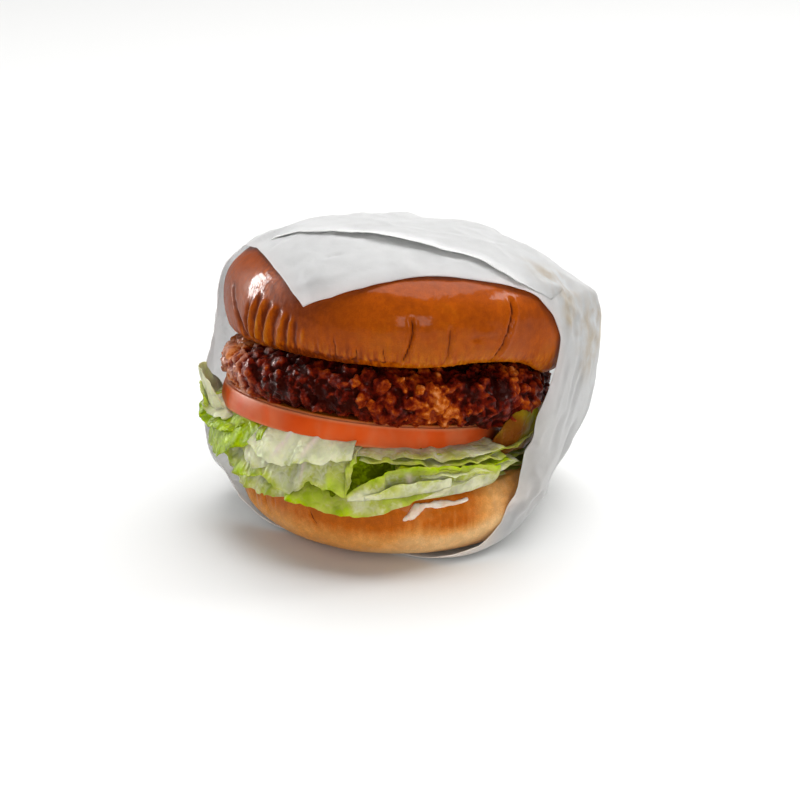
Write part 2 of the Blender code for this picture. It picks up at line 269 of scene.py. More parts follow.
def read(items: Any, key: str, width: int, kind: type = float) -> Array:
    """Reads a property of a mesh's points or edges, as rows of so many numbers."""
    values = np.empty(len(items) * width, dtype=kind)
    items.foreach_get(key, values)
    return values.reshape(-1, width)


def surface_of(mesh: Mesh) -> BVHTree:
    """A mesh's surface, for rays to hit."""
    spots = [vert.co.copy() for vert in mesh.vertices]
    return BVHTree.FromPolygons(spots, [tuple(face.vertices) for face in mesh.polygons])


def make_piece(
    name: str, points: Array, faces: Array, finish: Material,
    layers: dict[str, Array] | None = None,
) -> Object:
    """Makes an object at the origin from points, faces and numbers that its finish reads.

    Args:
        name: the piece's name.
        points: places of its points in the row frame.
        faces: four point numbers a face, the last doubled in a triangle.
        finish: its material.
        layers: numbers for each point, by attribute name.

    Returns:
        The new object, with smooth shading.
    """
    mesh = bpy.data.meshes.new(name)
    corners = [f[:3] if f[2] == f[3] else f for f in faces.tolist()]
    mesh.from_pydata(points.tolist(), [], corners)
    carry(mesh, layers or {})
    mesh.materials.append(finish)
    mesh.shade_smooth()
    mesh.update()
    piece = bpy.data.objects.new(name, mesh)
    bpy.context.scene.collection.objects.link(piece)
    return piece


def bake(piece: Object) -> None:
    """Turns a piece with live modifiers into a plain mesh, without them."""
    evaluated = piece.evaluated_get(bpy.context.evaluated_depsgraph_get())
    plain = bpy.data.meshes.new_from_object(evaluated)
    piece.modifiers.clear()
    old, piece.data = piece.data, plain
    bpy.data.meshes.remove(old)
    plain.name = piece.name


def mend(piece: Object) -> None:
    """Drops a thinned mesh's doubled faces, and the lone ones that then hang on nothing."""
    piece.data.validate()
    mesh = bmesh.new()
    mesh.from_mesh(piece.data)
    lone = [face for face in mesh.faces if all(edge.is_boundary for edge in face.edges)]
    bmesh.ops.delete(mesh, geom=lone, context="FACES")
    mesh.to_mesh(piece.data)
    mesh.free()


def hand_over(piece: Object, slot: str, *nodes: str) -> None:
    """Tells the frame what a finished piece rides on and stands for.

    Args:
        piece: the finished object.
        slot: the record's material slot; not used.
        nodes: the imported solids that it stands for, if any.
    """
    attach(piece, "root")
    if nodes:
        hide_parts(*nodes)
    mesh = piece.data
    LOG.info("%s: %d points, %d faces", piece.name, len(mesh.vertices), len(mesh.polygons))


def quarter(level: tuple[float, float], upright: tuple[float, float], power: float) -> Array:
    """(radius, height) points on a quarter superellipse, from its level end to its upright end."""
    turn = np.linspace(0, math.pi / 2, 200)
    radius = level[0] + (upright[0] - level[0]) * np.sin(turn) ** (2 / power)
    height = upright[1] + (level[1] - upright[1]) * np.maximum(np.cos(turn), 0) ** (2 / power)
    return np.stack([radius, height], 1)


def resample(path: Array, count: int, density: Array | None = None) -> Array:
    """Points spread evenly along a path, or more closely where its density is higher.

    Args:
        path: points of the path, close together.
        count: how many points to return.
        density: one weight for each point of the path.

    Returns:
        The new points, the path's two ends among them.
    """
    steps = np.linalg.norm(np.diff(path, axis=0), axis=1)
    if density is not None:
        steps = steps * (density[1:] + density[:-1]) / 2
    along = np.concatenate([[0], np.cumsum(steps)])
    places = np.linspace(0, along[-1], count)
    return np.stack([np.interp(places, along, path[:, i]) for i in range(path.shape[1])], 1)


def through(points: Array, count: int) -> Array:
    """A soft curve through a few points (Catmull-Rom), spread evenly.

    Args:
        points: the points it passes through.
        count: how many points to return.

    Returns:
        The curve's points.
    """
    ends = np.concatenate([[2 * points[0] - points[1]], points, [2 * points[-1] - points[-2]]])
    pieces = []
    share = np.linspace(0, 1, 24, endpoint=False)[:, None]
    for a, b, c, d in zip(ends, ends[1:], ends[2:], ends[3:]):
        curve = 2 * b + (c - a) * share + (2 * a - 5 * b + 4 * c - d) * share**2
        pieces.append((curve + (3 * b - a - 3 * c + d) * share**3) / 2)
    return resample(np.concatenate([*pieces, points[-1:]]), count)


def polar(radius: Array, angle: Array, height: Array) -> Array:
    """Points from their distance and direction about an upright line, and their height."""
    return np.stack([radius * np.cos(angle), radius * np.sin(angle), height], -1)


def lathe(outline: Array, angles: Array) -> tuple[Array, Array, Array]:
    """Turns an outline about an upright line.

    Args:
        outline: (radius, height) points from its upper pole to its lower one.
        angles: directions of the turned form's columns, in radians.

    Returns:
        Its points, the direction of each in radians, and its faces.
    """
    turn, radius = np.meshgrid(angles, outline[1:-1, 0])
    rings = polar(radius, turn, np.broadcast_to(outline[1:-1, 1:], turn.shape)).reshape(-1, 3)
    points = np.concatenate([rings, [[0, 0, height] for height in outline[[0, -1], 1]]])
    return points, np.append(turn.ravel(), [0.0, 0.0]), turned_faces(*turn.shape)


def front_loaded(columns: int) -> Array:
    """Angles round a piece, in radians, that stand closer together at the open front."""
    angles = np.linspace(-math.pi * 1.5, math.pi / 2, 3601)
    spread = 1 + 2.2 * bump(np.degrees(angles), -82, 62)
    total = np.concatenate([[0], np.cumsum((spread[1:] + spread[:-1]) / 2)])
    return np.interp(np.linspace(0, total[-1], columns, endpoint=False), total, angles)


# ---- where it is


@dataclass
class Layout:
    """Places of the part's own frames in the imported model."""

    pitch: float = math.radians(11.0)
    roll: float = math.radians(2.4)
    height: float = 30.0 * MM
    heel_place: tuple[float, float] = (1.6 * MM, -0.2 * MM)
    heel_radius: float = 47.5 * MM
    heel_swell: tuple = ((2, 0.010, 0.5), (3, 0.008, 2.0), (5, 0.005, 1.0))
    heel_sides: int = 48

    def __post_init__(self) -> None:
        """Finds how far packing moved the part, from where the heel's widest ring now stands."""
        turn = np.arange(self.heel_sides) * TAU / self.heel_sides
        reach = self.heel_radius * (1 + waves(turn, self.heel_swell))
        ring = np.stack([np.cos(turn) * reach, np.sin(turn) * reach], 1) + self.heel_place
        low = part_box("bun_heel")[0]
        self.shift = np.array([low[0] - ring[:, 0].min(), low[1] - ring[:, 1].min(), 0.0])
        self.lean = np.array(Euler((-self.pitch, self.roll, 0)).to_matrix())

    def level(self, points: Array) -> Array:
        """Moves points given about the wrap's middle line into the row frame."""
        return points + self.shift

    def stacked(self, points: Array) -> Array:
        """Moves points given in the leaning stack into the row frame."""
        return points @ self.lean.T + np.array([0, 0, self.height]) + self.shift


# ---- finishes


def paint(red: float, green: float, blue: float) -> Colour:
    """A colour named by its everyday 0 to 255 values, as the shaders want it."""

    def linear(value: float) -> float:
        """One channel without the screen's curve."""
        value /= 255
        return value / 12.92 if value <= 0.04045 else ((value + 0.055) / 1.055) ** 2.4

    return (linear(red), linear(green), linear(blue), 1.0)


class Bench:
    """Adds nodes to one node tree and wires them."""

    def __init__(self, tree: NodeTree) -> None:
        """Keeps the tree."""
        self.tree = tree

    def feed(self, socket: NodeSocket, value: Any) -> None:
        """Wires an output to a socket, or sets a plain value on it."""
        if isinstance(value, NodeSocket):
            self.tree.links.new(value, socket)
        else:
            socket.default_value = value

    def wire(self, node: Node, inputs: dict) -> None:
        """Feeds several of a node's sockets, by name or number."""
        for key, value in inputs.items():
            self.feed(node.inputs[key], value)

    def add(self, kind: str, inputs: dict | None = None, **settings: Any) -> Node:
        """Makes a node.

        Args:
            kind: the node's type.
            inputs: what its sockets get, by name or number.
            settings: its own properties.

        Returns:
            The node.
        """
        node = self.tree.nodes.new(kind)
        for key, value in settings.items():
            setattr(node, key, value)
        self.wire(node, inputs or {})
        return node

    def math(self, operation: str, first: Any, second: Any) -> Any:
        """Result of one operation on two numbers."""
        return self.add("ShaderNodeMath", {0: first, 1: second}, operation=operation).outputs[0]

    def plus(self, first: Any, second: Any) -> Any:
        """Sum of two numbers."""
        return self.math("ADD", first, second)

    def minus(self, first: Any, second: Any) -> Any:
        """The first number less the second."""
        return self.math("SUBTRACT", first, second)

    def times(self, first: Any, second: Any) -> Any:
        """Product of two numbers."""
        return self.math("MULTIPLY", first, second)

    def most(self, first: Any, second: Any) -> Any:
        """The greater of two numbers."""
        return self.math("MAXIMUM", first, second)

    def vector(self, operation: str, inputs: dict) -> Any:
        """Result of one operation on vectors, by the numbers of its sockets."""
        return self.add("ShaderNodeVectorMath", inputs, operation=operation).outputs[0]

    def shape(self, kind: str, inputs: dict) -> Any:
        """What a Geometry Nodes node puts out first."""
        return self.add("GeometryNode" + kind, inputs).outputs[0]

    def span(self, value: Any, low: float, high: float, to: tuple = (0.0, 1.0)) -> Any:
        """Maps low to high onto another span, gently at both ends."""
        ends = {"From Min": low, "From Max": high, "To Min": to[0], "To Max": to[1]}
        kind = "ShaderNodeMapRange"
        node = self.add(kind, {"Value": value, **ends}, interpolation_type="SMOOTHSTEP")
        return node.outputs["Result"]

    def blend(self, share: Any, first: Any, second: Any) -> Any:
        """Mixes two numbers."""
        return self.add("ShaderNodeMix", {0: share, 2: first, 3: second}).outputs[0]

    def mix(self, share: Any, first: Any, second: Any, blend: str = "MIX") -> Any:
        """Mixes two colours."""
        inputs = {0: share, 6: first, 7: second}
        return self.add("ShaderNodeMix", inputs, data_type="RGBA", blend_type=blend).outputs[2]

    def shaded(self, colour: Any, shade: Any) -> Any:
        """A colour made darker or lighter by a number."""
        return self.mix(1.0, colour, shade, "MULTIPLY")

    def ramp(self, value: Any, stops: tuple[tuple[float, Colour], ...]) -> Any:
        """A colour from a number, through stops of (place, colour)."""
        node = self.add("ShaderNodeValToRGB", {"Fac": value})
        band = node.color_ramp.elements
        while len(band) < len(stops):
            band.new(0.5)
        for element, (place, colour) in zip(band, stops):
            element.position, element.color = place, colour
        return node.outputs["Color"]

    def layer(self, name: str) -> Any:
        """A number that the mesh carries."""
        return self.add("ShaderNodeAttribute", attribute_name=name).outputs["Fac"]

    def place(self) -> Any:
        """The point's place on its own object, in metres."""
        return self.add("ShaderNodeTexCoord").outputs["Object"]

    def stretched(self, vector: Any, up: float) -> Any:
        """The place scaled along the height, to draw a pattern out."""
        inputs = {"Vector": vector, "Scale": (1.0, 1.0, up)}
        return self.add("ShaderNodeMapping", inputs).outputs["Vector"]

    def noise(self, vector: Any, size: float, detail: float = 2.0, warp: float = 0.0) -> Any:
        """Noise from 0 to 1 with features of that size in metres."""
        inputs = {"Vector": vector, "Scale": 1 / size, "Detail": detail, "Distortion": warp}
        return self.add("ShaderNodeTexNoise", inputs).outputs["Fac"]

    def cells(self, vector: Any, size: float, feature: str = "F1") -> Any:
        """Distance pattern of scattered cells of that size in metres."""
        inputs = {"Vector": vector, "Scale": 1 / size}
        return self.add("ShaderNodeTexVoronoi", inputs, feature=feature).outputs["Distance"]

    def effect(self, tree: NodeTree, vector: Any, scale: float, finer: float) -> Any:
        """Places a shared effect: its scale, and its share of finer specks or pits."""
        inputs = {0: vector, 1: scale, 2: finer}
        return self.add("ShaderNodeGroup", inputs, node_tree=tree).outputs[0]

    def relief(self, height: Any, strength: float, depth: float) -> Any:
        """A bump normal: depth is the height in metres that a change of 1 stands for."""
        inputs = {"Strength": strength, "Distance": depth, "Height": height}
        return self.add("ShaderNodeBump", inputs).outputs["Normal"]


def shared_effect(name: str, inputs: dict[str, float], output: str) -> tuple:
    """Starts a node group that several finishes place.

    Args:
        name: the group's name.
        inputs: its number inputs with their defaults, after a Vector.
        output: name of the number that it puts out.

    Returns:
        The group, a bench for it, its inputs' sockets, and the socket of its output.
    """
    tree = bpy.data.node_groups.new(name, "ShaderNodeTree")
    tree.interface.new_socket("Vector", in_out="INPUT", socket_type="NodeSocketVector")
    for key, value in inputs.items():
        socket = tree.interface.new_socket(key, in_out="INPUT", socket_type="NodeSocketFloat")
        socket.default_value = value
    tree.interface.new_socket(output, in_out="OUTPUT", socket_type="NodeSocketFloat")
    bench = Bench(tree)
    return tree, bench, bench.add("NodeGroupInput").outputs, bench.add("NodeGroupOutput").inputs[0]


def mottle_effect() -> NodeTree:
    """Patches with finer specks in them, as a mask from 0 to 1."""
    numbers = {"Patch Scale": 60.0, "Speck": 0.3}
    tree, bench, given, result = shared_effect("mottle", numbers, "Mask")
    kind, place = "ShaderNodeTexNoise", given["Vector"]
    patch = bench.add(kind, {"Vector": place, "Scale": given["Patch Scale"], "Detail": 3.0})
    finer = bench.times(given["Patch Scale"], 7.0)
    speck = bench.add(kind, {"Vector": place, "Scale": finer, "Detail": 2.0})
    both = bench.blend(given["Speck"], patch.outputs["Fac"], speck.outputs["Fac"])
    bench.feed(result, bench.span(both, 0.32, 0.68))
    return tree


def grain_effect() -> NodeTree:
    """Fine relief: small hills with pits between them, as a height from 0 to 1."""
    numbers = {"Grain Scale": 900.0, "Pits": 0.4}
    tree, bench, given, result = shared_effect("grain", numbers, "Height")
    inputs = {"Vector": given["Vector"], "Scale": given["Grain Scale"]}
    hills = bench.add("ShaderNodeTexNoise", {**inputs, "Detail": 3.0}).outputs["Fac"]
    pits = bench.add("ShaderNodeTexVoronoi", inputs).outputs["Distance"]
    bench.feed(result, bench.blend(given["Pits"], hills, pits))
    return tree


@dataclass(frozen=True)
class Finish:
    """A material to be made, with the shared effects that it may place."""

    name: str
    mottle: NodeTree | None = None
    grain: NodeTree | None = None

    def sockets(self, bench: Bench, place: Any) -> dict[str, Any]:
        """What the Principled shader's sockets get, for points at that place."""
        raise NotImplementedError

    def build(self) -> Material:
        """Makes the material.

        Returns:
            The material.
        """
        material = bpy.data.materials.new(self.name)
        material.use_nodes = True
        bench = Bench(material.node_tree)
        shader = material.node_tree.nodes["Principled BSDF"]
        bench.wire(shader, self.sockets(bench, bench.place()))
        return material


@dataclass(frozen=True)
class CrustFinish(Finish):
    """Baked crust, from a pale edge to deep brown, with torn skin and open crumb.

    The mesh says how well baked each point is, with painted shade and highlight mixed in (bake),
    where the skin is torn (split), where it is drawn into fine upright lines (drawn), and where the
    cut crumb shows (crumb).
    """

    pale: Colour = paint(202, 134, 46)
    golden: Colour = paint(180, 98, 6)
    brown: Colour = paint(160, 70, 0)
    deep: Colour = paint(104, 37, 3)
    shine: float = 0.22
    roughness: float = 0.36
    sheen: Colour = paint(255, 150, 60)
    crumb: Colour = paint(222, 190, 138)
    toasted: Colour = paint(170, 112, 58)
    torn: Colour = paint(86, 32, 10)

    def sockets(self, bench: Bench, place: Any) -> dict[str, Any]:
        """What the shader's sockets get."""
        patches = bench.effect(self.mottle, place, 75.0, 0.35)
        fine = bench.effect(self.mottle, place, 420.0, 0.5)
        lines = bench.noise(bench.stretched(place, 0.10), 1.1 * MM, 3.0)
        streak = bench.times(bench.minus(lines, 0.5), bench.layer("drawn"))
        baked = bench.plus(bench.layer("bake"), bench.span(patches, 0.0, 1.0, (-0.05, 0.05)))
        baked = bench.plus(baked, bench.times(streak, 1.5))
        skin = bench.ramp(
            baked, ((0.0, self.pale), (0.34, self.golden), (0.66, self.brown), (1.0, self.deep))
        )
        skin = bench.shaded(skin, bench.span(fine, 0.25, 0.9, (0.88, 1.08)))
        split, crumb = bench.layer("split"), bench.layer("crumb")
        skin = bench.mix(bench.span(split, 0.25, 0.8), skin, self.torn)
        toast = bench.mix(patches, self.crumb, self.toasted)
        dull = bench.span(fine, 0.0, 1.0, (self.roughness, self.roughness + 0.14))
        open_face = bench.plus(bench.times(crumb, 0.45), split)
        covered = bench.most(bench.times(bench.layer("matt"), 0.85), split)
        gloss = bench.minus(1.0, bench.most(crumb, covered))
        grain = bench.effect(self.grain, place, 1500.0, 0.35)
        wrinkle = bench.noise(bench.stretched(place, 0.35), 2.6 * MM, 3.0, 0.6)
        height = bench.plus(bench.times(grain, 0.25), wrinkle)
        height = bench.plus(height, bench.times(streak, 3.0))
        holes = bench.span(bench.cells(place, 1.7 * MM), 0.15, 0.6)
        height = bench.plus(height, bench.times(bench.times(holes, crumb), 6.0))
        return {
            "Base Color": bench.mix(crumb, skin, toast),
            "Roughness": bench.most(dull, open_face),
            "Coat Weight": bench.times(gloss, self.shine),
            "Coat Roughness": 0.10,
            "Specular IOR Level": 0.08,
            "Specular Tint": self.sheen,
            "Normal": bench.relief(height, 0.5, 0.16 * MM),
            "Coat Normal": bench.relief(height, 0.3, 0.16 * MM),
        }


@dataclass(frozen=True)
class TomatoFinish(Finish):
    """Tomato: a taut side with pale streaks, and wet flesh with a paler wall and beds of seeds.

    The mesh says where it is cut (cut), where the wall and the beds are (wall, pulp), where its
    side nears a cut (rim), and where the skin is deeper (deep).
    """

    skin: Colour = paint(218, 84, 26)
    deep: Colour = paint(212, 66, 8)
    streak_sheen: Colour = paint(216, 104, 58)
    flesh: Colour = paint(214, 84, 26)
    wall: Colour = paint(236, 128, 30)
    edge: Colour = paint(238, 168, 122)
    seed_bed: Colour = paint(196, 104, 24)
    sheen: Colour = paint(255, 170, 120)

    def sockets(self, bench: Bench, place: Any) -> dict[str, Any]:
        """What the shader's sockets get."""
        streaks = bench.noise(bench.stretched(place, 0.6), 11.0 * MM, 3.0, 0.4)
        # The pale streaks are painted sheen: soft highlights painted into the side's colour.
        side = bench.mix(bench.span(streaks, 0.40, 0.66), self.skin, self.streak_sheen)
        side = bench.mix(bench.times(bench.layer("deep"), 0.9), side, self.deep)
        side = bench.mix(bench.times(bench.layer("rim"), 0.55), side, self.edge)
        flesh = bench.mix(bench.layer("wall"), self.flesh, self.wall)
        flesh = bench.mix(bench.layer("pulp"), flesh, self.seed_bed)
        cut = bench.layer("cut")
        shade = bench.span(bench.effect(self.mottle, place, 60.0, 0.15), 0.0, 1.0, (0.92, 1.05))
        pulp = bench.times(bench.cells(place, 2.4 * MM), cut)
        height = bench.plus(bench.noise(place, 3.0 * MM, 3.0), pulp)
        return {
            "Base Color": bench.shaded(bench.mix(cut, side, flesh), shade),
            "Roughness": bench.span(streaks, 0.3, 0.7, (0.28, 0.42)),
            "Specular IOR Level": 0.12,
            "Specular Tint": self.sheen,
            "Subsurface Weight": 0.2,
            "Subsurface Radius": (1.0, 0.35, 0.15),
            "Subsurface Scale": 2.5 * MM,
            "Normal": bench.relief(height, 0.35, 0.25 * MM),
        }


@dataclass(frozen=True)
class FriedFinish(Finish):
    """Fried crust: near black in its hollows (crag near 0), orange-brown on its nubs, and oily.

    Where it is dry, it has a paler bloom (dry); at its left end this bloom is partly painted sheen.
    Low crag holds painted shade in its hollows, and high crag painted light on its crests.
    """

    # The darkest colour is char, and painted shade in the hollows.
    char_and_shade: Colour = paint(38, 4, 3)
    maroon: Colour = paint(92, 15, 5)
    brown: Colour = paint(134, 46, 8)
    orange: Colour = paint(182, 88, 16)
    tip: Colour = paint(212, 132, 76)
    # The bloom colour is partly painted sheen.
    bloom_and_sheen: Colour = paint(196, 140, 116)
    sheen: Colour = paint(255, 130, 70)

    def sockets(self, bench: Bench, place: Any) -> dict[str, Any]:
        """What the shader's sockets get."""
        patches = bench.effect(self.mottle, place, 110.0, 0.35)
        flecks = bench.effect(self.mottle, place, 500.0, 0.4)
        shift = bench.span(patches, 0.0, 1.0, (-0.16, 0.14))
        crag = bench.plus(shift, bench.span(flecks, 0.0, 1.0, (-0.10, 0.12)))
        crag = bench.plus(bench.layer("crag"), crag)
        stops = (self.char_and_shade, self.maroon, self.brown, self.orange, self.tip)
        colour = bench.ramp(crag, tuple(zip((0.12, 0.38, 0.60, 0.82, 1.0), stops)))
        dry = bench.times(bench.layer("dry"), bench.span(crag, 0.15, 0.6, (0.30, 1.0)))
        grain = bench.effect(self.grain, place, 900.0, 0.45)
        return {
            "Base Color": bench.mix(dry, colour, self.bloom_and_sheen),
            "Roughness": bench.span(flecks, 0.2, 0.9, (0.55, 0.30)),
            "Coat Weight": bench.span(flecks, 0.55, 0.9, (0.0, 0.20)),
            "Coat Roughness": 0.12,
            "Specular IOR Level": 0.10,
            "Specular Tint": self.sheen,
            "Normal": bench.relief(grain, 0.7, 0.30 * MM),
        }


@dataclass(frozen=True)
class LeafFinish(Finish):
    """Lettuce: from near white through yellow-green to dark green (green), with pale veins (vein).

    A leaf that lies in the sauce and oil, or in shade behind the tomato, is painted browner (stain).
    """

    white: Colour = paint(220, 221, 182)
    pale: Colour = paint(190, 196, 92)
    bright: Colour = paint(172, 200, 0)
    dark: Colour = paint(88, 100, 2)
    rib: Colour = paint(216, 202, 186)
    stained_and_shaded: Colour = paint(118, 60, 14)
    sheen: Colour = paint(220, 255, 90)

    def sockets(self, bench: Bench, place: Any) -> dict[str, Any]:
        """What the shader's sockets get."""
        patches = bench.effect(self.mottle, place, 130.0, 0.25)
        warp = bench.add("ShaderNodeTexNoise", {"Vector": place, "Scale": 260.0, "Detail": 2.0})
        push = bench.vector("SCALE", {0: warp.outputs["Color"], 3: 2.5 * MM})
        net = bench.cells(bench.vector("ADD", {0: place, 1: push}), 3.4 * MM, "DISTANCE_TO_EDGE")
        green = bench.plus(bench.layer("green"), bench.span(patches, 0.0, 1.0, (-0.16, 0.18)))
        green = bench.minus(green, bench.span(net, 0.10, 0.0, (0.0, 0.07)))
        colour = bench.ramp(
            green, ((0.0, self.white), (0.32, self.pale), (0.68, self.bright), (1.0, self.dark))
        )
        shade = bench.span(bench.noise(place, 6.0 * MM, 3.0), 0.36, 0.62, (0.70, 1.0))
        colour = bench.mix(bench.layer("vein"), bench.shaded(colour, shade), self.rib)
        height = bench.plus(bench.span(net, 0.0, 0.25), bench.noise(place, 1.6 * MM))
        return {
            # Browner where stained, and painted shade on leaves that lie in shadow.
            "Base Color": bench.mix(bench.layer("stain_and_shade"), colour, self.stained_and_shaded),
            "Roughness": bench.span(patches, 0, 1, (0.3, 0.46)),
            "Specular IOR Level": 0.10,
            "Specular Tint": self.sheen,
            "Subsurface Weight": 0.35,
            "Subsurface Radius": (0.7, 1.0, 0.25),
            "Subsurface Scale": 2.0 * MM,
            "Normal": bench.relief(height, 0.4, 0.3 * MM),
        }


@dataclass(frozen=True)
class SauceFinish(Finish):
    """Mayonnaise: thick, off-white and wet."""

    light: Colour = paint(238, 222, 208)
    warm: Colour = paint(226, 190, 160)

    def sockets(self, bench: Bench, place: Any) -> dict[str, Any]:
        """What the shader's sockets get."""
        patches = bench.effect(self.mottle, place, 300.0, 0.2)
        return {
            "Base Color": bench.mix(patches, self.light, self.warm),
            "Roughness": bench.span(patches, 0, 1, (0.2, 0.34)),
            "Subsurface Weight": 0.3,
            "Subsurface Scale": 1.5 * MM,
            "Normal": bench.relief(bench.noise(place, 2 * MM), 0.4, 0.3 * MM),
        }


@dataclass(frozen=True)
class PaperFinish(Finish):
    """Greaseproof paper: matt white, faintly cockled, soaked in spots (grease), painted shade
    (crease).
    """

    white: Colour = paint(248, 248, 246)
    grey: Colour = paint(238, 238, 236)
    soaked: Colour = paint(206, 184, 154)
    # painted shade colour for the sheet's creases
    crease_shading: Colour = paint(230, 229, 227)

    def sockets(self, bench: Bench, place: Any) -> dict[str, Any]:
        """What the shader's sockets get."""
        patches = bench.effect(self.mottle, place, 45.0, 0.2)
        blots = bench.span(bench.noise(place, 7.0 * MM, 3.0, 0.2), 0.25, 0.65)
        grease = bench.times(bench.layer("grease"), blots)
        colour = bench.mix(grease, bench.mix(patches, self.white, self.grey), self.soaked)
        dry = bench.span(patches, 0.0, 1.0, (0.52, 0.62))
        fibres = bench.times(bench.effect(self.grain, place, 1600.0, 0.1), 0.06)
        height = bench.plus(fibres, bench.noise(place, 9.0 * MM, 4.0, 0.4))
        return {
            # Painted shade where the sheet lies in a crease.
            "Base Color": bench.mix(bench.layer("crease"), colour, self.crease_shading),
            "Roughness": bench.minus(dry, bench.times(grease, 0.22)),
            "Specular IOR Level": 0.35,
            "Subsurface Weight": 0.85,
            "Subsurface Radius": (1.0, 1.0, 1.0),
            "Subsurface Scale": 4.0 * MM,
            "Normal": bench.relief(height, 0.5, 0.6 * MM),
        }


@dataclass(frozen=True)
class FloorFinish(Finish):
    """The studio's pale floor."""

    colour: Colour = paint(226, 226, 225)

    def sockets(self, bench: Bench, place: Any) -> dict[str, Any]:
        """What the shader's sockets get."""
        return {"Base Color": self.colour, "Roughness": 0.55}


# ---- buns


@dataclass(frozen=True)
class Crease:
    """A line that runs down a bun's side: (angle in degrees, height in mm) from its top end.

    A positive depth is a valley and a negative one a fold that stands out. Split is how far the
    skin is torn open along it, and width and depth are in mm.
    """

    path: tuple[tuple[float, float], ...]
    width: float
    depth: float
    split: float = 0.0

    def nearness(self, angles: Array, points: Array, noise: Noise) -> tuple[Array, Array]:
        """How near each point is to the line.

        Args:
            angles: direction of each point about the bun's axis, in degrees.
            points: the points, in metres, in the bun's own frame.
            noise: bends the line a little.

        Returns:
            Distance across the line in widths, and a fade from 0 past its ends to 1 along it.
        """
        heights = points[:, 2] / MM
        reach = np.hypot(points[:, 0], points[:, 1]) / MM
        order = sorted(self.path, key=lambda spot: spot[1])
        levels = [spot[1] for spot in order]
        line = np.interp(heights, levels, [spot[0] for spot in order])
        wobble = 0.35 * noise.hills(drawn_out(heights, line), 2.3)
        across = np.radians(turned(angles, line)) * reach + wobble
        fade = smooth(levels[0] - 1.2, levels[0] + 1.2, heights)
        fade *= smooth(levels[-1] + 1.5, levels[-1] - 1.5, heights)
        return across / self.width, fade


@dataclass
class Bun:
    """One bun: a turned form with an uneven outline, creases and a browned skin."""

    layout: Layout
    finish: Material
    name: str = ""
    slot: str = ""
    seed: int = 1
    columns: int = 420
    rows: int = 190
    sparse: float = 0.4  # closeness of its rows where nothing is dense
    crease_shading: float = 0.34  # painted shade and highlight: how much darker a valley is painted, and how much paler a fold
    creases: tuple[Crease, ...] = ()

    def profile(self) -> Array:
        """The turned outline, from its top pole to its bottom pole."""
        raise NotImplementedError

    def dense(self, outline: Array) -> Array:
        """Where the outline needs its rows closer together."""
        raise NotImplementedError

    def reshape(self, points: Array, angles: Array) -> Array:
        """Gives turned points the bun's own uneven form."""
        raise NotImplementedError

    def place(self, points: Array) -> Array:
        """Moves points from the bun's own frame into the row frame."""
        raise NotImplementedError

    def relief(self, points: Array, degrees: Array, noise: Noise) -> Array:
        """How far each point stands out from the plain form, in mm."""
        raise NotImplementedError

    def layers(self, points: Array, degrees: Array, noise: Noise) -> dict[str, Array]:
        """The numbers that the crust's finish reads."""
        raise NotImplementedError

    def build(self) -> Object:
        """Makes the bun.

        Returns:
            The finished piece.
        """
        noise = Noise(self.seed)
        profile = self.profile()
        density = self.sparse + 1.3 * self.dense(profile)
        outline = resample(profile, self.rows, blur(density[:, None], 6, 0, False)[:, 0])
        points, turn, faces = lathe(outline, front_loaded(self.columns))
        points, degrees = self.reshape(points, turn), np.degrees(turn)
        normals = face_normals(points, faces)
        rise = self.relief(points, degrees, noise)
        split, crease_shading_mask = np.zeros(len(points)), np.zeros(len(points))
        for crease in self.creases:
            across, fade = crease.nearness(degrees, points, noise)
            valley = bump(across, 0, 1) * fade
            lips = bump(abs(across), 1.9, 1) * fade
            rise += 0.3 * abs(crease.depth) * crease.split * lips - crease.depth * valley
            split = np.maximum(split, crease.split * bump(across, 0, 0.62) * fade)
            crease_shading_mask += np.sign(crease.depth) * valley * (crease.split == 0)
        layers = self.layers(points, degrees, noise)
        layers["split"] = np.maximum(split, layers.get("split", 0))
        # Painted shade in the valleys of the pressed creases, and painted highlight on their folds.
        layers["bake"] = layers["bake"] + self.crease_shading * crease_shading_mask
        points = points + normals * rise[:, None] * MM
        piece = make_piece(self.name, self.place(points), faces, self.finish, layers)
        hand_over(piece, self.slot, self.name)
        return piece


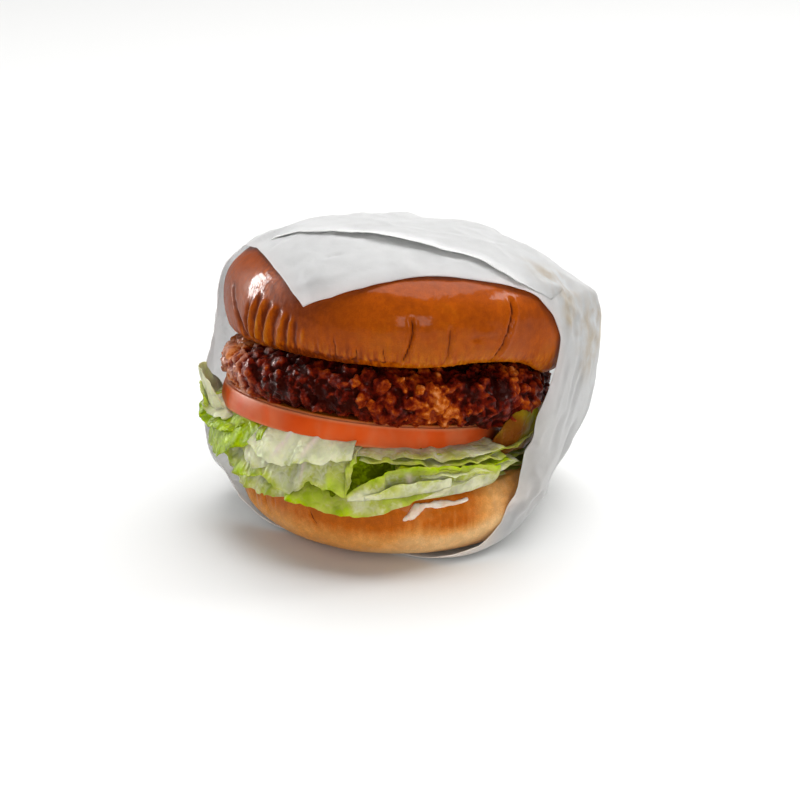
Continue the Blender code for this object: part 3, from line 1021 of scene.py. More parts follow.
@dataclass
class Crown(Bun):
    """The top bun: a full dome, squeezed into folds at its left, torn along its lower edge."""

    name: str = "bun_crown"
    slot: str = "bun_crust"
    seed: int = 11
    sparse: float = 0.45
    radius: float = 54 * MM
    cut_radius: float = 49 * MM
    height: float = 34.5 * MM
    widest: float = 12 * MM
    fullness: float = 2.25
    swell: tuple = ((2, 0.010, 0.8), (3, 0.010, 2.9), (5, 0.005, 0.4))
    droop: float = 1.3 * MM
    right_droop: float = 3.6 * MM
    front_arch: float = 2.1 * MM
    right_flare: float = 1.4 * MM
    spot: tuple[float, float, float] = (-1.2 * MM, -0.5 * MM, 26.1 * MM)
    tip: float = -math.atan(0.045)
    creases: tuple[Crease, ...] = (
        Crease(((-139, 15), (-135, 9), (-131.5, 4.5), (-130, -1)), 1.4, 1.0),
        Crease(((-124.5, 11), (-126.5, 6), (-127.5, 1)), 0.9, 0.75),
        Crease(((-119, 14.5), (-121, 9), (-123, 4), (-125, 0)), 1.0, 0.8),
        Crease(((-114, 13), (-117, 7.5), (-120, 1)), 0.9, 0.75),
        Crease(((-108.5, 12), (-111.5, 7), (-114.5, 0)), 0.9, 0.6),
        Crease(((-104.5, 10.5), (-106, 6), (-108, 0)), 0.7, 0.5),
        Crease(((-101.5, 9), (-102.5, 3), (-103, 0)), 0.6, 0.3),
        Crease(((-122.5, 12), (-124.3, 7), (-125.8, 1)), 0.9, -0.8),
        Crease(((-116.5, 13.5), (-119, 8), (-121.8, 1)), 1.0, -0.85),
        Crease(((-111.2, 12.5), (-114.3, 7), (-117.5, 0.5)), 1.0, -0.8),
        Crease(((-106.2, 11), (-108.8, 5), (-111.5, 0)), 0.9, -0.6),
        Crease(((-103, 10), (-104.6, 5), (-105.5, 1)), 0.7, -0.45),
        Crease(((-98.5, 7), (-99.5, 3)), 0.6, -0.35),
        Crease(
            ((-62.9, 13.9), (-62.2, 10.2), (-62.9, 6.6), (-63.9, 3.2), (-64.6, 1)), 0.5, 0.9, 1.0
        ),
        Crease(((-50.7, 12), (-50.4, 7), (-50.3, 1.5)), 0.6, 0.7, 0.75),
        Crease(((-28, 20), (-28.2, 16.6), (-29.6, 12), (-31, 6.9), (-33.5, 0.5)), 0.7, 1.1, 1.0),
        Crease(((-87.2, 6.5), (-86.6, 1.5)), 0.4, 0.4, 0.8),
        Crease(((-79.8, 4.2), (-79.4, 0.5)), 0.4, 0.4, 0.9),
        Crease(((-71, 5.0), (-70.6, 1.0)), 0.4, 0.4, 0.8),
        Crease(((-93.4, 4.5), (-93.2, 1.0)), 0.4, 0.3, 0.6),
    )

    def profile(self) -> Array:
        """The turned outline, from its top pole to its bottom pole."""
        dome = quarter((0, self.height), (self.radius, self.widest), self.fullness)
        side = quarter((self.cut_radius, 0), (self.radius, self.widest), 2.0)[::-1]
        cut = np.linspace((self.cut_radius, 0), (0, 0), 120)
        return np.concatenate([dome, side[1:], cut[1:]])

    def dense(self, outline: Array) -> Array:
        """Where the outline needs its rows closer together: down its side."""
        return (outline[:, 0] > 0.82 * self.cut_radius) & (outline[:, 1] < 0.8 * self.height)

    def reshape(self, points: Array, angles: Array) -> Array:
        """Gives turned points the crown's uneven outline and its sagging front rim."""
        rim = np.minimum(1, np.hypot(points[:, 0], points[:, 1]) / self.cut_radius)
        low = np.maximum(0, 1 - points[:, 2] / (2 * self.widest)) * rim**12
        bearing = turned(np.degrees(angles))
        front = 0.5 - 0.5 * np.sin(angles)
        right = smooth(-20, -2, bearing) * smooth(44, 14, bearing)
        arch = bump(bearing, -33, 19)
        sag = (self.droop * front + self.right_droop * right - self.front_arch * arch) * low
        swell = 1 + waves(angles, self.swell) + self.right_flare * right * low / self.radius
        return np.stack([points[:, 0] * swell, points[:, 1] * swell, points[:, 2] - sag], 1)

    def place(self, points: Array) -> Array:
        """Moves points from the crown's own frame into the row frame."""
        tilt = np.array(Euler((0, self.tip, 0)).to_matrix())
        return self.layout.stacked(points @ tilt.T + np.array(self.spot))

    def relief(self, points: Array, degrees: Array, noise: Noise) -> Array:
        """Soft dents over the skin, upright ripples low on the left, and a ragged lower edge."""
        height = points[:, 2] / MM
        skin = smooth(-0.4, 1.5, height)
        soft = 0.35 * noise.hills(points, 22 * MM) + 0.10 * noise.rough(points, 6 * MM)
        around = drawn_out(degrees * 0.95, height * 0.16)
        left = about(degrees, -116, 16) * smooth(17, 6, height)
        low = smooth(6.5, 1.0, height) * about(degrees, -78, 32)
        ripples = 0.30 * noise.hills(around, 3.1) * left + 0.22 * noise.hills(around, 1.5) * low
        dimple = -0.7 * about(degrees, -41.5, 2.4) * bump(height, 9.0, 1.3)
        lip = 0.5 * about(degrees, -38.5, 3.0) * bump(height, 10.8, 1.2)
        ragged = 0.45 * noise.rough(around, 1.2) * bump(height, 0.2, 1.4)
        pores = 0.35 * noise.rough(points, 3 * MM) * (1 - skin)
        return (soft + ripples + dimple + lip) * skin + ragged + pores

    def layers(self, points: Array, degrees: Array, noise: Noise) -> dict[str, Array]:
        """Paler towards the lower edge, browner under the paper, dull and dark round the left."""
        height, bearing = points[:, 2] / MM, turned(degrees)
        around = drawn_out(degrees * 0.95, height * 0.25)
        left = about(degrees, -113, 15) * smooth(15, 3, height)
        scorch = smooth(1.9, 0.4, height - 1.3 * noise.rough(around, 1.6)) * about(degrees, -92, 26)
        # Painted shade: the far left, the middle of the left and the right along the paper's edge are
        # painted darker.
        bake = (
            0.68 - 0.13 * smooth(13, 2, height) - 0.10 * smooth(3.5, 0.2, height)
            + 0.16 * smooth(18, 30, height) + 0.12 * smooth(-112, -150, bearing)
            + 0.10 * smooth(-32, -8, bearing) + 0.22 * about(degrees, -106, 20) - 0.08 * left
            + 0.42 * scorch + 0.06 * noise.hills(points, 14 * MM)
            + 0.10 * noise.rough(around, 3.5) * smooth(9, 2, height)
        )
        drawn = np.maximum(0.08 + 0.82 * smooth(5.5, 0.8, height), 0.7 * about(degrees, -119, 9))
        reach = np.hypot(*points[:, :2].T)
        crumb = smooth(0.5, -0.5, height) * smooth(0.99, 0.93, reach / self.cut_radius)
        under = bump(height, 0.6, 1.0) * about(degrees, -76, 26)
        shreds = noise.hills(np.stack([degrees, height * 0.1, height], 1), 1.3)
        tears = smooth(0.1, 0.5, shreds) * under
        matt = np.maximum.reduce([
            about(degrees, -113, 17) * smooth(15, 10, height),
            smooth(-130, -134, bearing),
            smooth(-28, -12, bearing) * smooth(60, 30, bearing),
        ])
        return {"bake": bake, "drawn": drawn, "crumb": crumb, "split": 0.8 * tears, "matt": matt}


@dataclass
class Heel(Bun):
    """The bottom bun: a low round with a flat foot, browner above and pale at its foot."""

    name: str = "bun_heel"
    slot: str = "bun_pale_crust"
    seed: int = 23
    rows: int = 150
    radius: float = 47.5 * MM
    foot_radius: float = 35.5 * MM
    top_radius: float = 43.5 * MM
    height: float = 18.6 * MM
    widest: float = 0.58
    front_rise: float = 0.045
    right_rise: float = 0.050
    dish: float = 1.2 * MM
    lift: float = 1.2 * MM
    creases: tuple[Crease, ...] = (
        Crease(((-140.5, 15.5), (-138, 10), (-134.5, 6)), 0.9, 1.0, 0.60),
        Crease(((-136.5, 15), (-133.5, 8)), 0.8, 0.7, 0.45),
        Crease(((-131, 16), (-128.5, 9)), 0.8, 0.8, 0.45),
        Crease(((-126.5, 15.5), (-124, 10), (-121.5, 6.5)), 0.8, 1.0, 0.65),
        Crease(((-119.5, 15), (-118, 11)), 0.6, 0.5, 0.35),
        Crease(((-99.2, 14), (-97.6, 12), (-96.2, 10.6)), 0.45, 0.6, 1.0),
        Crease(((-26.5, 17), (-25.5, 13)), 0.7, 0.35, 0.1),
        Crease(((-19, 17), (-18, 9)), 0.8, 0.35, 0.1),
    )

    def profile(self) -> Array:
        """The turned outline, from its top pole to its bottom pole."""
        level = self.widest * self.height
        face = np.linspace((0, self.height), (self.top_radius, self.height), 120)
        rim = quarter((self.top_radius, self.height), (self.radius, level), 2.0)
        foot = quarter((self.foot_radius, 0), (self.radius, level), 2.2)[::-1]
        under = np.linspace((self.foot_radius, 0), (0, 0), 90)
        return np.concatenate([face, rim[1:], foot[1:], under[1:]])

    def dense(self, outline: Array) -> Array:
        """Where the outline needs its rows closer together: down its side."""
        return (outline[:, 0] > 0.8 * self.top_radius) & (outline[:, 1] > 0.2 * MM)

    def reshape(self, points: Array, angles: Array) -> Array:
        """Gives turned points the heel's uneven outline and its sloping, dished cut face."""
        swell = 1 + waves(angles, self.layout.heel_swell)
        x, y = points[:, 0] * swell, points[:, 1] * swell
        inside = np.maximum(0, 1 - (x * x + y * y) / self.top_radius**2)
        top = self.height - self.front_rise * y + self.right_rise * x - self.dish * inside
        return np.stack([x, y, points[:, 2] * top / self.height], 1)

    def place(self, points: Array) -> Array:
        """Moves points from the heel's own frame into the row frame."""
        return self.layout.level(points + np.array([*self.layout.heel_place, self.lift]))

    def surface(self, degrees: Array, share: Array) -> tuple[Array, Array]:
        """Points on the heel's upper rim, in its own frame.

        Args:
            degrees: direction of each point.
            share: how far up the rim it lies, from 0 on the widest ring to 1 at the top edge.

        Returns:
            The points and their outward directions.
        """
        level = self.widest * self.height
        turn, angles = share * math.pi / 2, np.radians(degrees)
        radius = self.top_radius + (self.radius - self.top_radius) * np.cos(turn)
        height = level + (self.height - level) * np.sin(turn)
        points, out = polar(radius, angles, height), polar(np.cos(turn), angles, np.sin(turn))
        return self.reshape(points.reshape(-1, 3), angles.ravel()).reshape(points.shape), out

    def relief(self, points: Array, degrees: Array, noise: Noise) -> Array:
        """Soft dents, and upright ripples on the left where the bun is squeezed."""
        height = points[:, 2] / MM
        skin = smooth(0.3, 2.0, height) * smooth(19.2, 17.5, height)
        around = drawn_out(degrees * 0.85, height * 0.22)
        left = about(degrees, -130, 16) * smooth(17, 12, height) * smooth(3, 7, height)
        soft = 0.30 * noise.hills(points, 20 * MM) + 0.10 * noise.rough(points, 5 * MM)
        band = about(degrees, -44, 13) * bump(height, 12.5, 2.6)
        drips = 0.25 * noise.hills(around, 1.7) * band
        cut = 0.3 * noise.rough(points, 3 * MM) * smooth(17, 18.2, height)
        return (soft + 0.5 * noise.hills(around, 3.2) * left + drips) * skin + cut

    def layers(self, points: Array, degrees: Array, noise: Noise) -> dict[str, Array]:
        """Orange-brown under the leaves, pale tan at the right and the foot."""
        height, bearing = points[:, 2] / MM, turned(degrees)
        right = smooth(-42, -24, bearing) * smooth(60, 20, bearing)
        band = about(degrees, -46, 14) * bump(height, 12.5, 3.0)
        around = drawn_out(degrees * 0.85, height * 0.15)
        bake = (
            0.30 + 0.34 * smooth(6.5, 14, height)
            - 0.26 * smooth(5.5, 1.5, height) * smooth(-96, -58, bearing)
            - 0.28 * about(degrees, -44, 19) * smooth(13, 7, height)
            + 0.07 * about(degrees, -92, 30) * smooth(4, 11, height) + 0.06 * band
            - 0.18 * right - 0.20 * smooth(-50, -36, bearing) * right
            + 0.07 * noise.hills(points, 12 * MM)
            + 0.07 * noise.rough(around, 2.4) * smooth(3, 9, height)
        )
        reach = np.hypot(*points[:, :2].T)
        crumb = smooth(self.top_radius, self.top_radius * 0.96, reach) * smooth(12, 14, height)
        return {"bake": bake, "drawn": 0.05 + 0.22 * band, "crumb": crumb}


@dataclass
class SauceSmear:
    """Mayonnaise squeezed out over the heel's upper edge, in joined dabs.

    Its path holds (angle in degrees, share up the rim), and its dabs (angle, length, half width).
    """

    heel: Heel
    finish: Material
    start: float = -64.0
    end: float = -37.0
    path: tuple = (
        (-64, 0.14), (-61.5, 0.22), (-58.5, 0.38), (-54.5, 0.50), (-48.5, 0.50), (-43, 0.47),
        (-36, 0.54),
    )
    dabs: tuple = ((-58.5, 3.2, 0.15), (-49.5, 4.2, 0.09), (-40, 6, 0.04))
    least: float = 0.02
    thickness: float = 0.95 * MM
    sunk: float = 0.12 * MM
    columns: int = 150
    rows: int = 26
    seed: int = 71

    def build(self) -> Object:
        """Makes the smear as a closed drop lying on the crust.

        Returns:
            The finished piece.
        """
        noise = Noise(self.seed)
        degrees, across = np.meshgrid(
            np.linspace(self.start, self.end, self.columns), np.linspace(-1, 1, self.rows)
        )
        line = drawn_out(degrees, degrees * 0)
        half = sum(size * bump(degrees, centre, length) for centre, length, size in self.dabs)
        half = half * (1 + 0.5 * noise.rough(line, 2.0)) + self.least
        run = 0.5 * noise.hills(line, 3.0)
        middle = read_off(degrees, self.path)
        share = middle + half * across * (1 + 0.25 * run) + 0.05 * run
        points, out = self.heel.surface(degrees, np.clip(share, 0.05, 1.0))
        dome = np.sqrt(np.maximum(0, 1 - across**2)) * np.sqrt(np.clip(half * 7, 0, 1))
        ends = smooth(self.start, self.start + 2.5, degrees)
        ends = ends * smooth(self.end, self.end - 3, degrees)
        thick = self.thickness * dome * ends * (1 + 0.25 * noise.hills(points, 2.5 * MM))
        front = (points + out * (thick - self.sunk)[..., None]).reshape(-1, 3)
        back = (points - out * 0.4 * MM).reshape(-1, 3)
        vertices, faces = shell(front, back, grid_faces(self.rows, self.columns)[:, ::-1])
        piece = make_piece("sauce_smear", self.heel.place(vertices), faces, self.finish)
        hand_over(piece, "wrap_paper")
        return piece


# ---- tomato


@dataclass
class TomatoSlice:
    """A thick slice: a taut bulging side, and two cut faces with chambers of seeds."""

    layout: Layout
    finish: Material
    radius: float = 44.4 * MM
    thickness: float = 8.0 * MM
    spot: tuple[float, float] = (-6.3 * MM, -6.2 * MM)
    bulge: float = 1.3 * MM
    edge: float = 0.6 * MM
    lobes: tuple = ((2, 0.012, 0.3), (3, 0.006, 2.2), (5, 0.009, 1.2))
    chambers: int = 6
    columns: int = 420
    rows: int = 130
    seed: int = 37

    def chamber(self, points: Array, degrees: Array) -> Array:
        """1 in the seed chambers of the cut faces, 0 on the walls between them."""
        share = np.hypot(points[:, 0], points[:, 1]) / self.radius
        turn = np.radians(degrees)
        spoke = np.abs(np.sin(turn * self.chambers / 2 + 0.6 * np.sin(turn)))
        return smooth(0.28, 0.42, share) * smooth(0.84, 0.74, share) * smooth(0.35, 0.62, spoke)

    def profile(self) -> Array:
        """The turned outline: the upper face, its softened edge, the bulging side and the rest."""
        half, rim = self.thickness / 2, self.radius - self.bulge
        turn = np.linspace(0, math.pi, 90)
        bend = np.stack([rim + self.bulge * np.sin(turn) ** 0.8, half * np.cos(turn)], 1)
        side = bend[np.abs(bend[:, 1]) < half - self.edge]
        soft = quarter((rim - self.edge, half), (rim, half - self.edge), 2.0)
        face = np.linspace((0, half), (rim - self.edge, half), 90)
        under = np.concatenate([face, soft[:-1]])[::-1] * (1, -1)
        return np.concatenate([face, soft[1:], side, under])

    def build(self) -> Object:
        """Makes the slice.

        Returns:
            The finished piece.
        """
        noise = Noise(self.seed)
        half = self.thickness / 2
        outline = self.profile()
        density = 0.35 + 1.6 * (outline[:, 0] > self.radius - self.bulge - 3 * MM)
        outline = resample(outline, self.rows, density)
        points, turn, faces = lathe(outline, front_loaded(self.columns))
        share, degrees = np.hypot(*points[:, :2].T) / self.radius, np.degrees(turn)
        points[:, :2] *= 1 + waves(turn, self.lobes)[:, None]
        cut = smooth(0.975, 0.955, share) * (np.abs(points[:, 2]) > half - 1.2 * self.edge)
        chamber = self.chamber(points, degrees) * cut
        rise = 0.18 * noise.hills(points, 9 * MM) + 0.12 * noise.rough(points, 3 * MM) * cut
        rise = (rise - 0.5 * chamber)[:, None] * MM
        points = points + face_normals(points, faces) * rise
        layers = {
            "cut": cut,
            "wall": smooth(0.80, 0.92, share) * (1 - chamber),
            "pulp": chamber,
            "rim": (1 - cut) * smooth(0.55, 0.95, np.abs(points[:, 2] / half)),
            "deep": about(degrees, -80, 22) * smooth(-0.4, 0.3, noise.hills(points, 16 * MM)),
        }
        place = self.layout.stacked(points + np.array([*self.spot, half]))
        piece = make_piece("tomato_slice", place, faces, self.finish, layers)
        hand_over(piece, "tomato_red", "tomato_slice")
        return piece


# ---- chicken


@dataclass
class CrustTree:
    """Geometry Nodes that grow a fried crust: flat clumps of batter with small nubs over them."""

    clump: float = 3.2 * MM
    clump_gap: float = 4.4 * MM
    nub: float = 0.72 * MM
    nub_gap: float = 1.45 * MM
    tear: float = 2.6 * MM  # how far the batter is pulled out of shape
    density: float = 900000.0  # the most blobs for each square metre
    squashed: tuple = (0.5, 0.45, 0.35)  # least scale of a blob along each axis
    seed: int = 5

    def sizes(self) -> dict[str, float]:
        """The tree's number inputs, by name."""
        return {
            "Clump Size": self.clump, "Clump Gap": self.clump_gap, "Nub Size": self.nub,
            "Nub Gap": self.nub_gap, "Tear": self.tear,
        }

    def build(self) -> tuple[NodeTree, dict[str, str]]:
        """Makes the tree.

        Returns:
            The tree, and the identifier of each input by its name.
        """
        tree = bpy.data.node_groups.new("fried_crust", "GeometryNodeTree")
        kinds = {"Geometry": "Geometry", **dict.fromkeys(self.sizes(), "Float"), "Seed": "Int"}
        for name, kind in {**kinds, "Finish": "Material"}.items():
            tree.interface.new_socket(name, in_out="INPUT", socket_type="NodeSocket" + kind)
        tree.interface.new_socket("Geometry", in_out="OUTPUT", socket_type="NodeSocketGeometry")
        bench = Bench(tree)
        given = bench.add("NodeGroupInput").outputs
        clumps = self.scatter(bench, given, given["Geometry"], "Clump", (1.45, 1.0, 0.65))
        bed = self.joined(bench, (clumps, given["Geometry"]))
        nubs = self.scatter(bench, given, bed, "Nub", (2.3, 1.2, 1.0))
        plain = bench.shape("RealizeInstances", {"Geometry": self.joined(bench, (nubs, bed))})
        torn = bench.shape("SetPosition", {"Geometry": plain, "Offset": self.pull(bench, given)})
        dressed = bench.shape("SetMaterial", {"Geometry": torn, "Material": given["Finish"]})
        bench.add("NodeGroupOutput", {"Geometry": dressed})
        items = tree.interface.items_tree
        return tree, {item.name: item.identifier for item in items if item.in_out == "INPUT"}

    @staticmethod
    def pull(bench: Bench, given: Any) -> Any:
        """Noise that pulls each point out of place, so that no blob stays round."""
        place = bench.shape("InputPosition", {})
        noise = bench.add("ShaderNodeTexNoise", {"Vector": place, "Scale": 380.0, "Detail": 3.0})
        even = bench.vector("SUBTRACT", {0: noise.outputs["Color"], 1: (0.5, 0.5, 0.5)})
        return bench.vector("SCALE", {0: even, 3: given["Tear"]})

    @staticmethod
    def joined(bench: Bench, parts: tuple) -> Any:
        """One real mesh from several parts."""
        whole = bench.add("GeometryNodeJoinGeometry")
        for part in parts:
            bench.tree.links.new(part, whole.inputs[0])
        return bench.shape("RealizeInstances", {"Geometry": whole.outputs[0]})

    def scatter(self, bench: Bench, given: Any, bed: Any, kind: str, high: tuple) -> Any:
        """Spreads squashed blobs over a surface.

        Args:
            bench: the tree's bench.
            given: the tree's inputs.
            bed: the surface.
            kind: start of the names of the inputs that hold the blob's radius and its gap.
            high: greatest scale of a blob along each axis.

        Returns:
            The blobs, as instances.
        """
        seed, gap = given["Seed"], given[f"{kind} Gap"]
        spread = bench.add(
            "GeometryNodeDistributePointsOnFaces",
            {"Mesh": bed, "Distance Min": gap, "Density Max": self.density, "Seed": seed},
            distribute_method="POISSON",
        ).outputs
        blob = bench.shape("MeshIcoSphere", {"Radius": given[f"{kind} Size"], "Subdivisions": 2})
        scale, spin = (
            bench.add(
                "FunctionNodeRandomValue", {0: low, 1: top, "Seed": seed}, data_type="FLOAT_VECTOR"
            ).outputs[0]
            for low, top in ((self.squashed, high), ((0.0, 0.0, 0.0), (0.0, 0.0, TAU)))
        )
        way = bench.add(
            "FunctionNodeRotateRotation", {"Rotation": spread["Rotation"], "Rotate By": spin},
            rotation_space="LOCAL",
        ).outputs[0]
        inputs = {"Points": spread["Points"], "Instance": blob, "Rotation": way, "Scale": scale}
        return bench.shape("InstanceOnPoints", inputs)


@dataclass
class ChickenFillet:
    """The fried fillet: a lumpy disc grown over with crust and fused into one skin."""

    layout: Layout
    finish: Material
    tree: CrustTree = field(default_factory=CrustTree)
    radius: float = 52.5 * MM
    thickness: float = 18.4 * MM
    spot: tuple[float, float, float] = (-2.5 * MM, -1.5 * MM, 16.2 * MM)
    taper: float = 0.045
    lump: float = 1.6 * MM
    flat: float = 0.80
    flat_under: float = 0.89
    outline: tuple = ((2, 0.018, 2.6), (3, 0.020, 0.4), (7, 0.012, 1.9), (13, 0.009, 0.7))
    batter: float = 2.0 * MM
    fried: tuple = (  # how much darker or paler it is by its bearing in degrees
        (-180, 0.05), (-140, 0.08), (-122, 0.02), (-112, -0.10), (-98, -0.21), (-84, -0.16),
        (-76, -0.07), (-68, 0.04), (-50, 0.18), (-42, 0.08), (-36, -0.06), (-26, -0.13),
        (-18, 0.12), (0, 0), (180, 0.05),
    )
    voxel: float = 0.46 * MM
    most_faces: int = 190000
    usual: float = 1.7  # the crust's usual height over the plain fillet, in mm
    columns: int = 200
    rows: int = 74
    seed: int = 29
    crag_seed: int = 53

    def fillet(self) -> tuple[Array, Array]:
        """The plain fillet under the batter, as points in its own frame and faces."""
        half, radius = self.thickness / 2 - self.batter, self.radius - self.batter
        core, under = (self.radius * share - self.batter for share in (self.flat, self.flat_under))
        above, below = (quarter((end, half), (radius, 0), 2.3) for end in (core, under))
        upper = [np.linspace((0, half), (core, half), 60), above[1:]]
        lower = [below[::-1][1:], np.linspace((under, half), (0, half), 60)[1:]]
        path = resample(np.concatenate(upper + [part * (1, -1) for part in lower]), self.rows)
        points, angle, faces = lathe(path, np.linspace(0, TAU, self.columns, endpoint=False))
        reach, height = np.hypot(*points[:, :2].T), points[:, 2]
        share = reach / self.radius
        lump = np.sin(5 * angle + 9 * share) * np.cos(8 * share + 2 * angle + 1)
        sink = self.lump * 0.5 * (1 - lump) * np.minimum(1, share * 1.5)
        swell = reach * (1 + waves(angle, self.outline))
        slope = self.taper * swell * np.cos(angle) * (0.5 + 0.5 * height / half)
        return polar(swell, angle, height * (1 - sink / half) + slope), faces

    def build(self) -> Object:
        """Makes the fillet.

        Returns:
            The finished piece.
        """
        points, faces = self.fillet()
        noise = Noise(self.seed)
        masses = 0.9 * noise.hills(points, 12 * MM) + 0.8 * (noise.ridges(points, 9 * MM) - 0.5)
        points = points + face_normals(points, faces) * masses[:, None] * MM
        points = self.layout.stacked(points + np.array(self.spot))
        piece = make_piece("chicken_fillet", points, faces, self.finish)
        plain = surface_of(piece.data)
        tree, names = self.tree.build()
        grow = piece.modifiers.new("crust", "NODES")
        grow.node_group = tree
        inputs = {**self.tree.sizes(), "Seed": self.tree.seed, "Finish": self.finish}
        for name, value in inputs.items():
            grow[names[name]] = value
        bake(piece)
        fuse = piece.modifiers.new("fuse", "REMESH")
        fuse.mode = "VOXEL"
        fuse.voxel_size = self.voxel
        bake(piece)
        thin = piece.modifiers.new("thin", "DECIMATE")
        thin.ratio = min(1.0, self.most_faces / (2 * len(piece.data.polygons)))
        bake(piece)
        mend(piece)
        self.roughen(piece.data, plain)
        piece.data.materials.clear()
        piece.data.materials.append(self.finish)
        piece.data.shade_smooth()
        hand_over(piece, "fried_crust", "chicken_fillet")
        return piece

    def roughen(self, mesh: Mesh, plain: BVHTree) -> None:
        """Adds fine crags, and notes how dark each point is painted, shade and light included.

        Args:
            mesh: the fused crust.
            plain: surface of the plain fillet.
        """
        noise = Noise(self.crag_seed)
        points = read(mesh.vertices, "co", 3)
        normals = read(mesh.vertex_normals, "vector", 3)
        crag = 0.45 * (noise.ridges(points, 4.0 * MM) - 0.5)
        crag = crag + 0.30 * noise.rough(points, 1.6 * MM, 2)
        points = points + normals * crag[:, None] * MM
        reach = np.array([plain.find_nearest(Vector(point))[3] for point in points])
        height = reach / MM - self.usual
        hollow = self.hollowness(points, normals, read(mesh.edges, "vertices", 2, int))
        mesh.vertices.foreach_set("co", points.ravel())
        around = points - self.layout.stacked(np.array([self.spot]))
        bearing = np.degrees(np.arctan2(around[:, 1], around[:, 0]))
        left = smooth(0.40, 0.85, -around[:, 0] / np.hypot(around[:, 0], around[:, 1]))
        # Painted shade in the hollows, and painted light on the crests and on the left end.
        level = (
            0.37 + 0.09 * height + 0.42 * hollow + 0.26 * noise.hills(points, 9 * MM)
            + 0.10 * noise.hills(points, 4 * MM) + 0.34 * left
            + read_off(bearing, self.fried)
        )
        # The dry bloom at the left end is partly painted sheen.
        dry = smooth(-112, -127, bearing) + smooth(120, 150, bearing)
        dry = dry * smooth(-0.7, 0.3, noise.hills(points, 5 * MM) + 0.9 * height - 0.3)
        carry(mesh, {"crag": level, "dry": dry})
        mesh.update()

    @staticmethod
    def hollowness(points: Array, normals: Array, edges: Array) -> Array:
        """How far each point stands out from its wider surroundings, in mm: below 0 in hollows."""
        around = points
        share = np.maximum(np.bincount(edges.ravel(), minlength=len(points)), 1)[:, None]
        for _ in range(5):
            total = np.zeros_like(around)
            np.add.at(total, edges[:, 0], around[edges[:, 1]])
            np.add.at(total, edges[:, 1], around[edges[:, 0]])
            around = total / share
        return ((points - around) * normals).sum(1) / MM


# ---- lettuce


@dataclass(frozen=True)
class Leaf:
    """One leaf, laid by its free edge: (angle in degrees, reach in mm, height in mm).

    It runs in from that edge to a root line that is depth mm nearer the middle, at the root's
    height (or rise mm above the edge where no height is given), and its middle swells by belly mm.
    """

    edge: tuple[tuple[float, float, float], ...]
    depth: float
    root: float | None = None
    rise: float = 0.0
    belly: float = 1.0
    frill: float = 1.4  # height of the waves along its free edge, in mm
    frill_size: float = 6.0  # their length, in mm
    ragged: float = 0.8  # how deep its edge is cut, in mm
    crinkle: float = 0.5  # height of its small hills, in mm
    pleat: float = 0.8  # height of its folds, in mm
    green: float = 0.35  # 0 where it is white, 1 where it is dark green
    green_end: float | None = None  # the same at the other end, where it differs
    edge_green: float = 0.3  # how much greener its free edge is
    # how much browner it is painted: sauce stain, and painted shade where it lies in shadow
    stain_and_shade: float = 0.0
    ribs: tuple[float, ...] = ()  # places of its ribs, from 0 to 1 along it
    rows: int = 27
    step: float = 0.62  # between its columns, in mm

    def shares(self) -> Array:
        """How far in from the free edge each of its rows lies, from 0 to 1."""
        return np.linspace(0, 1, self.rows)[:, None] ** 1.15


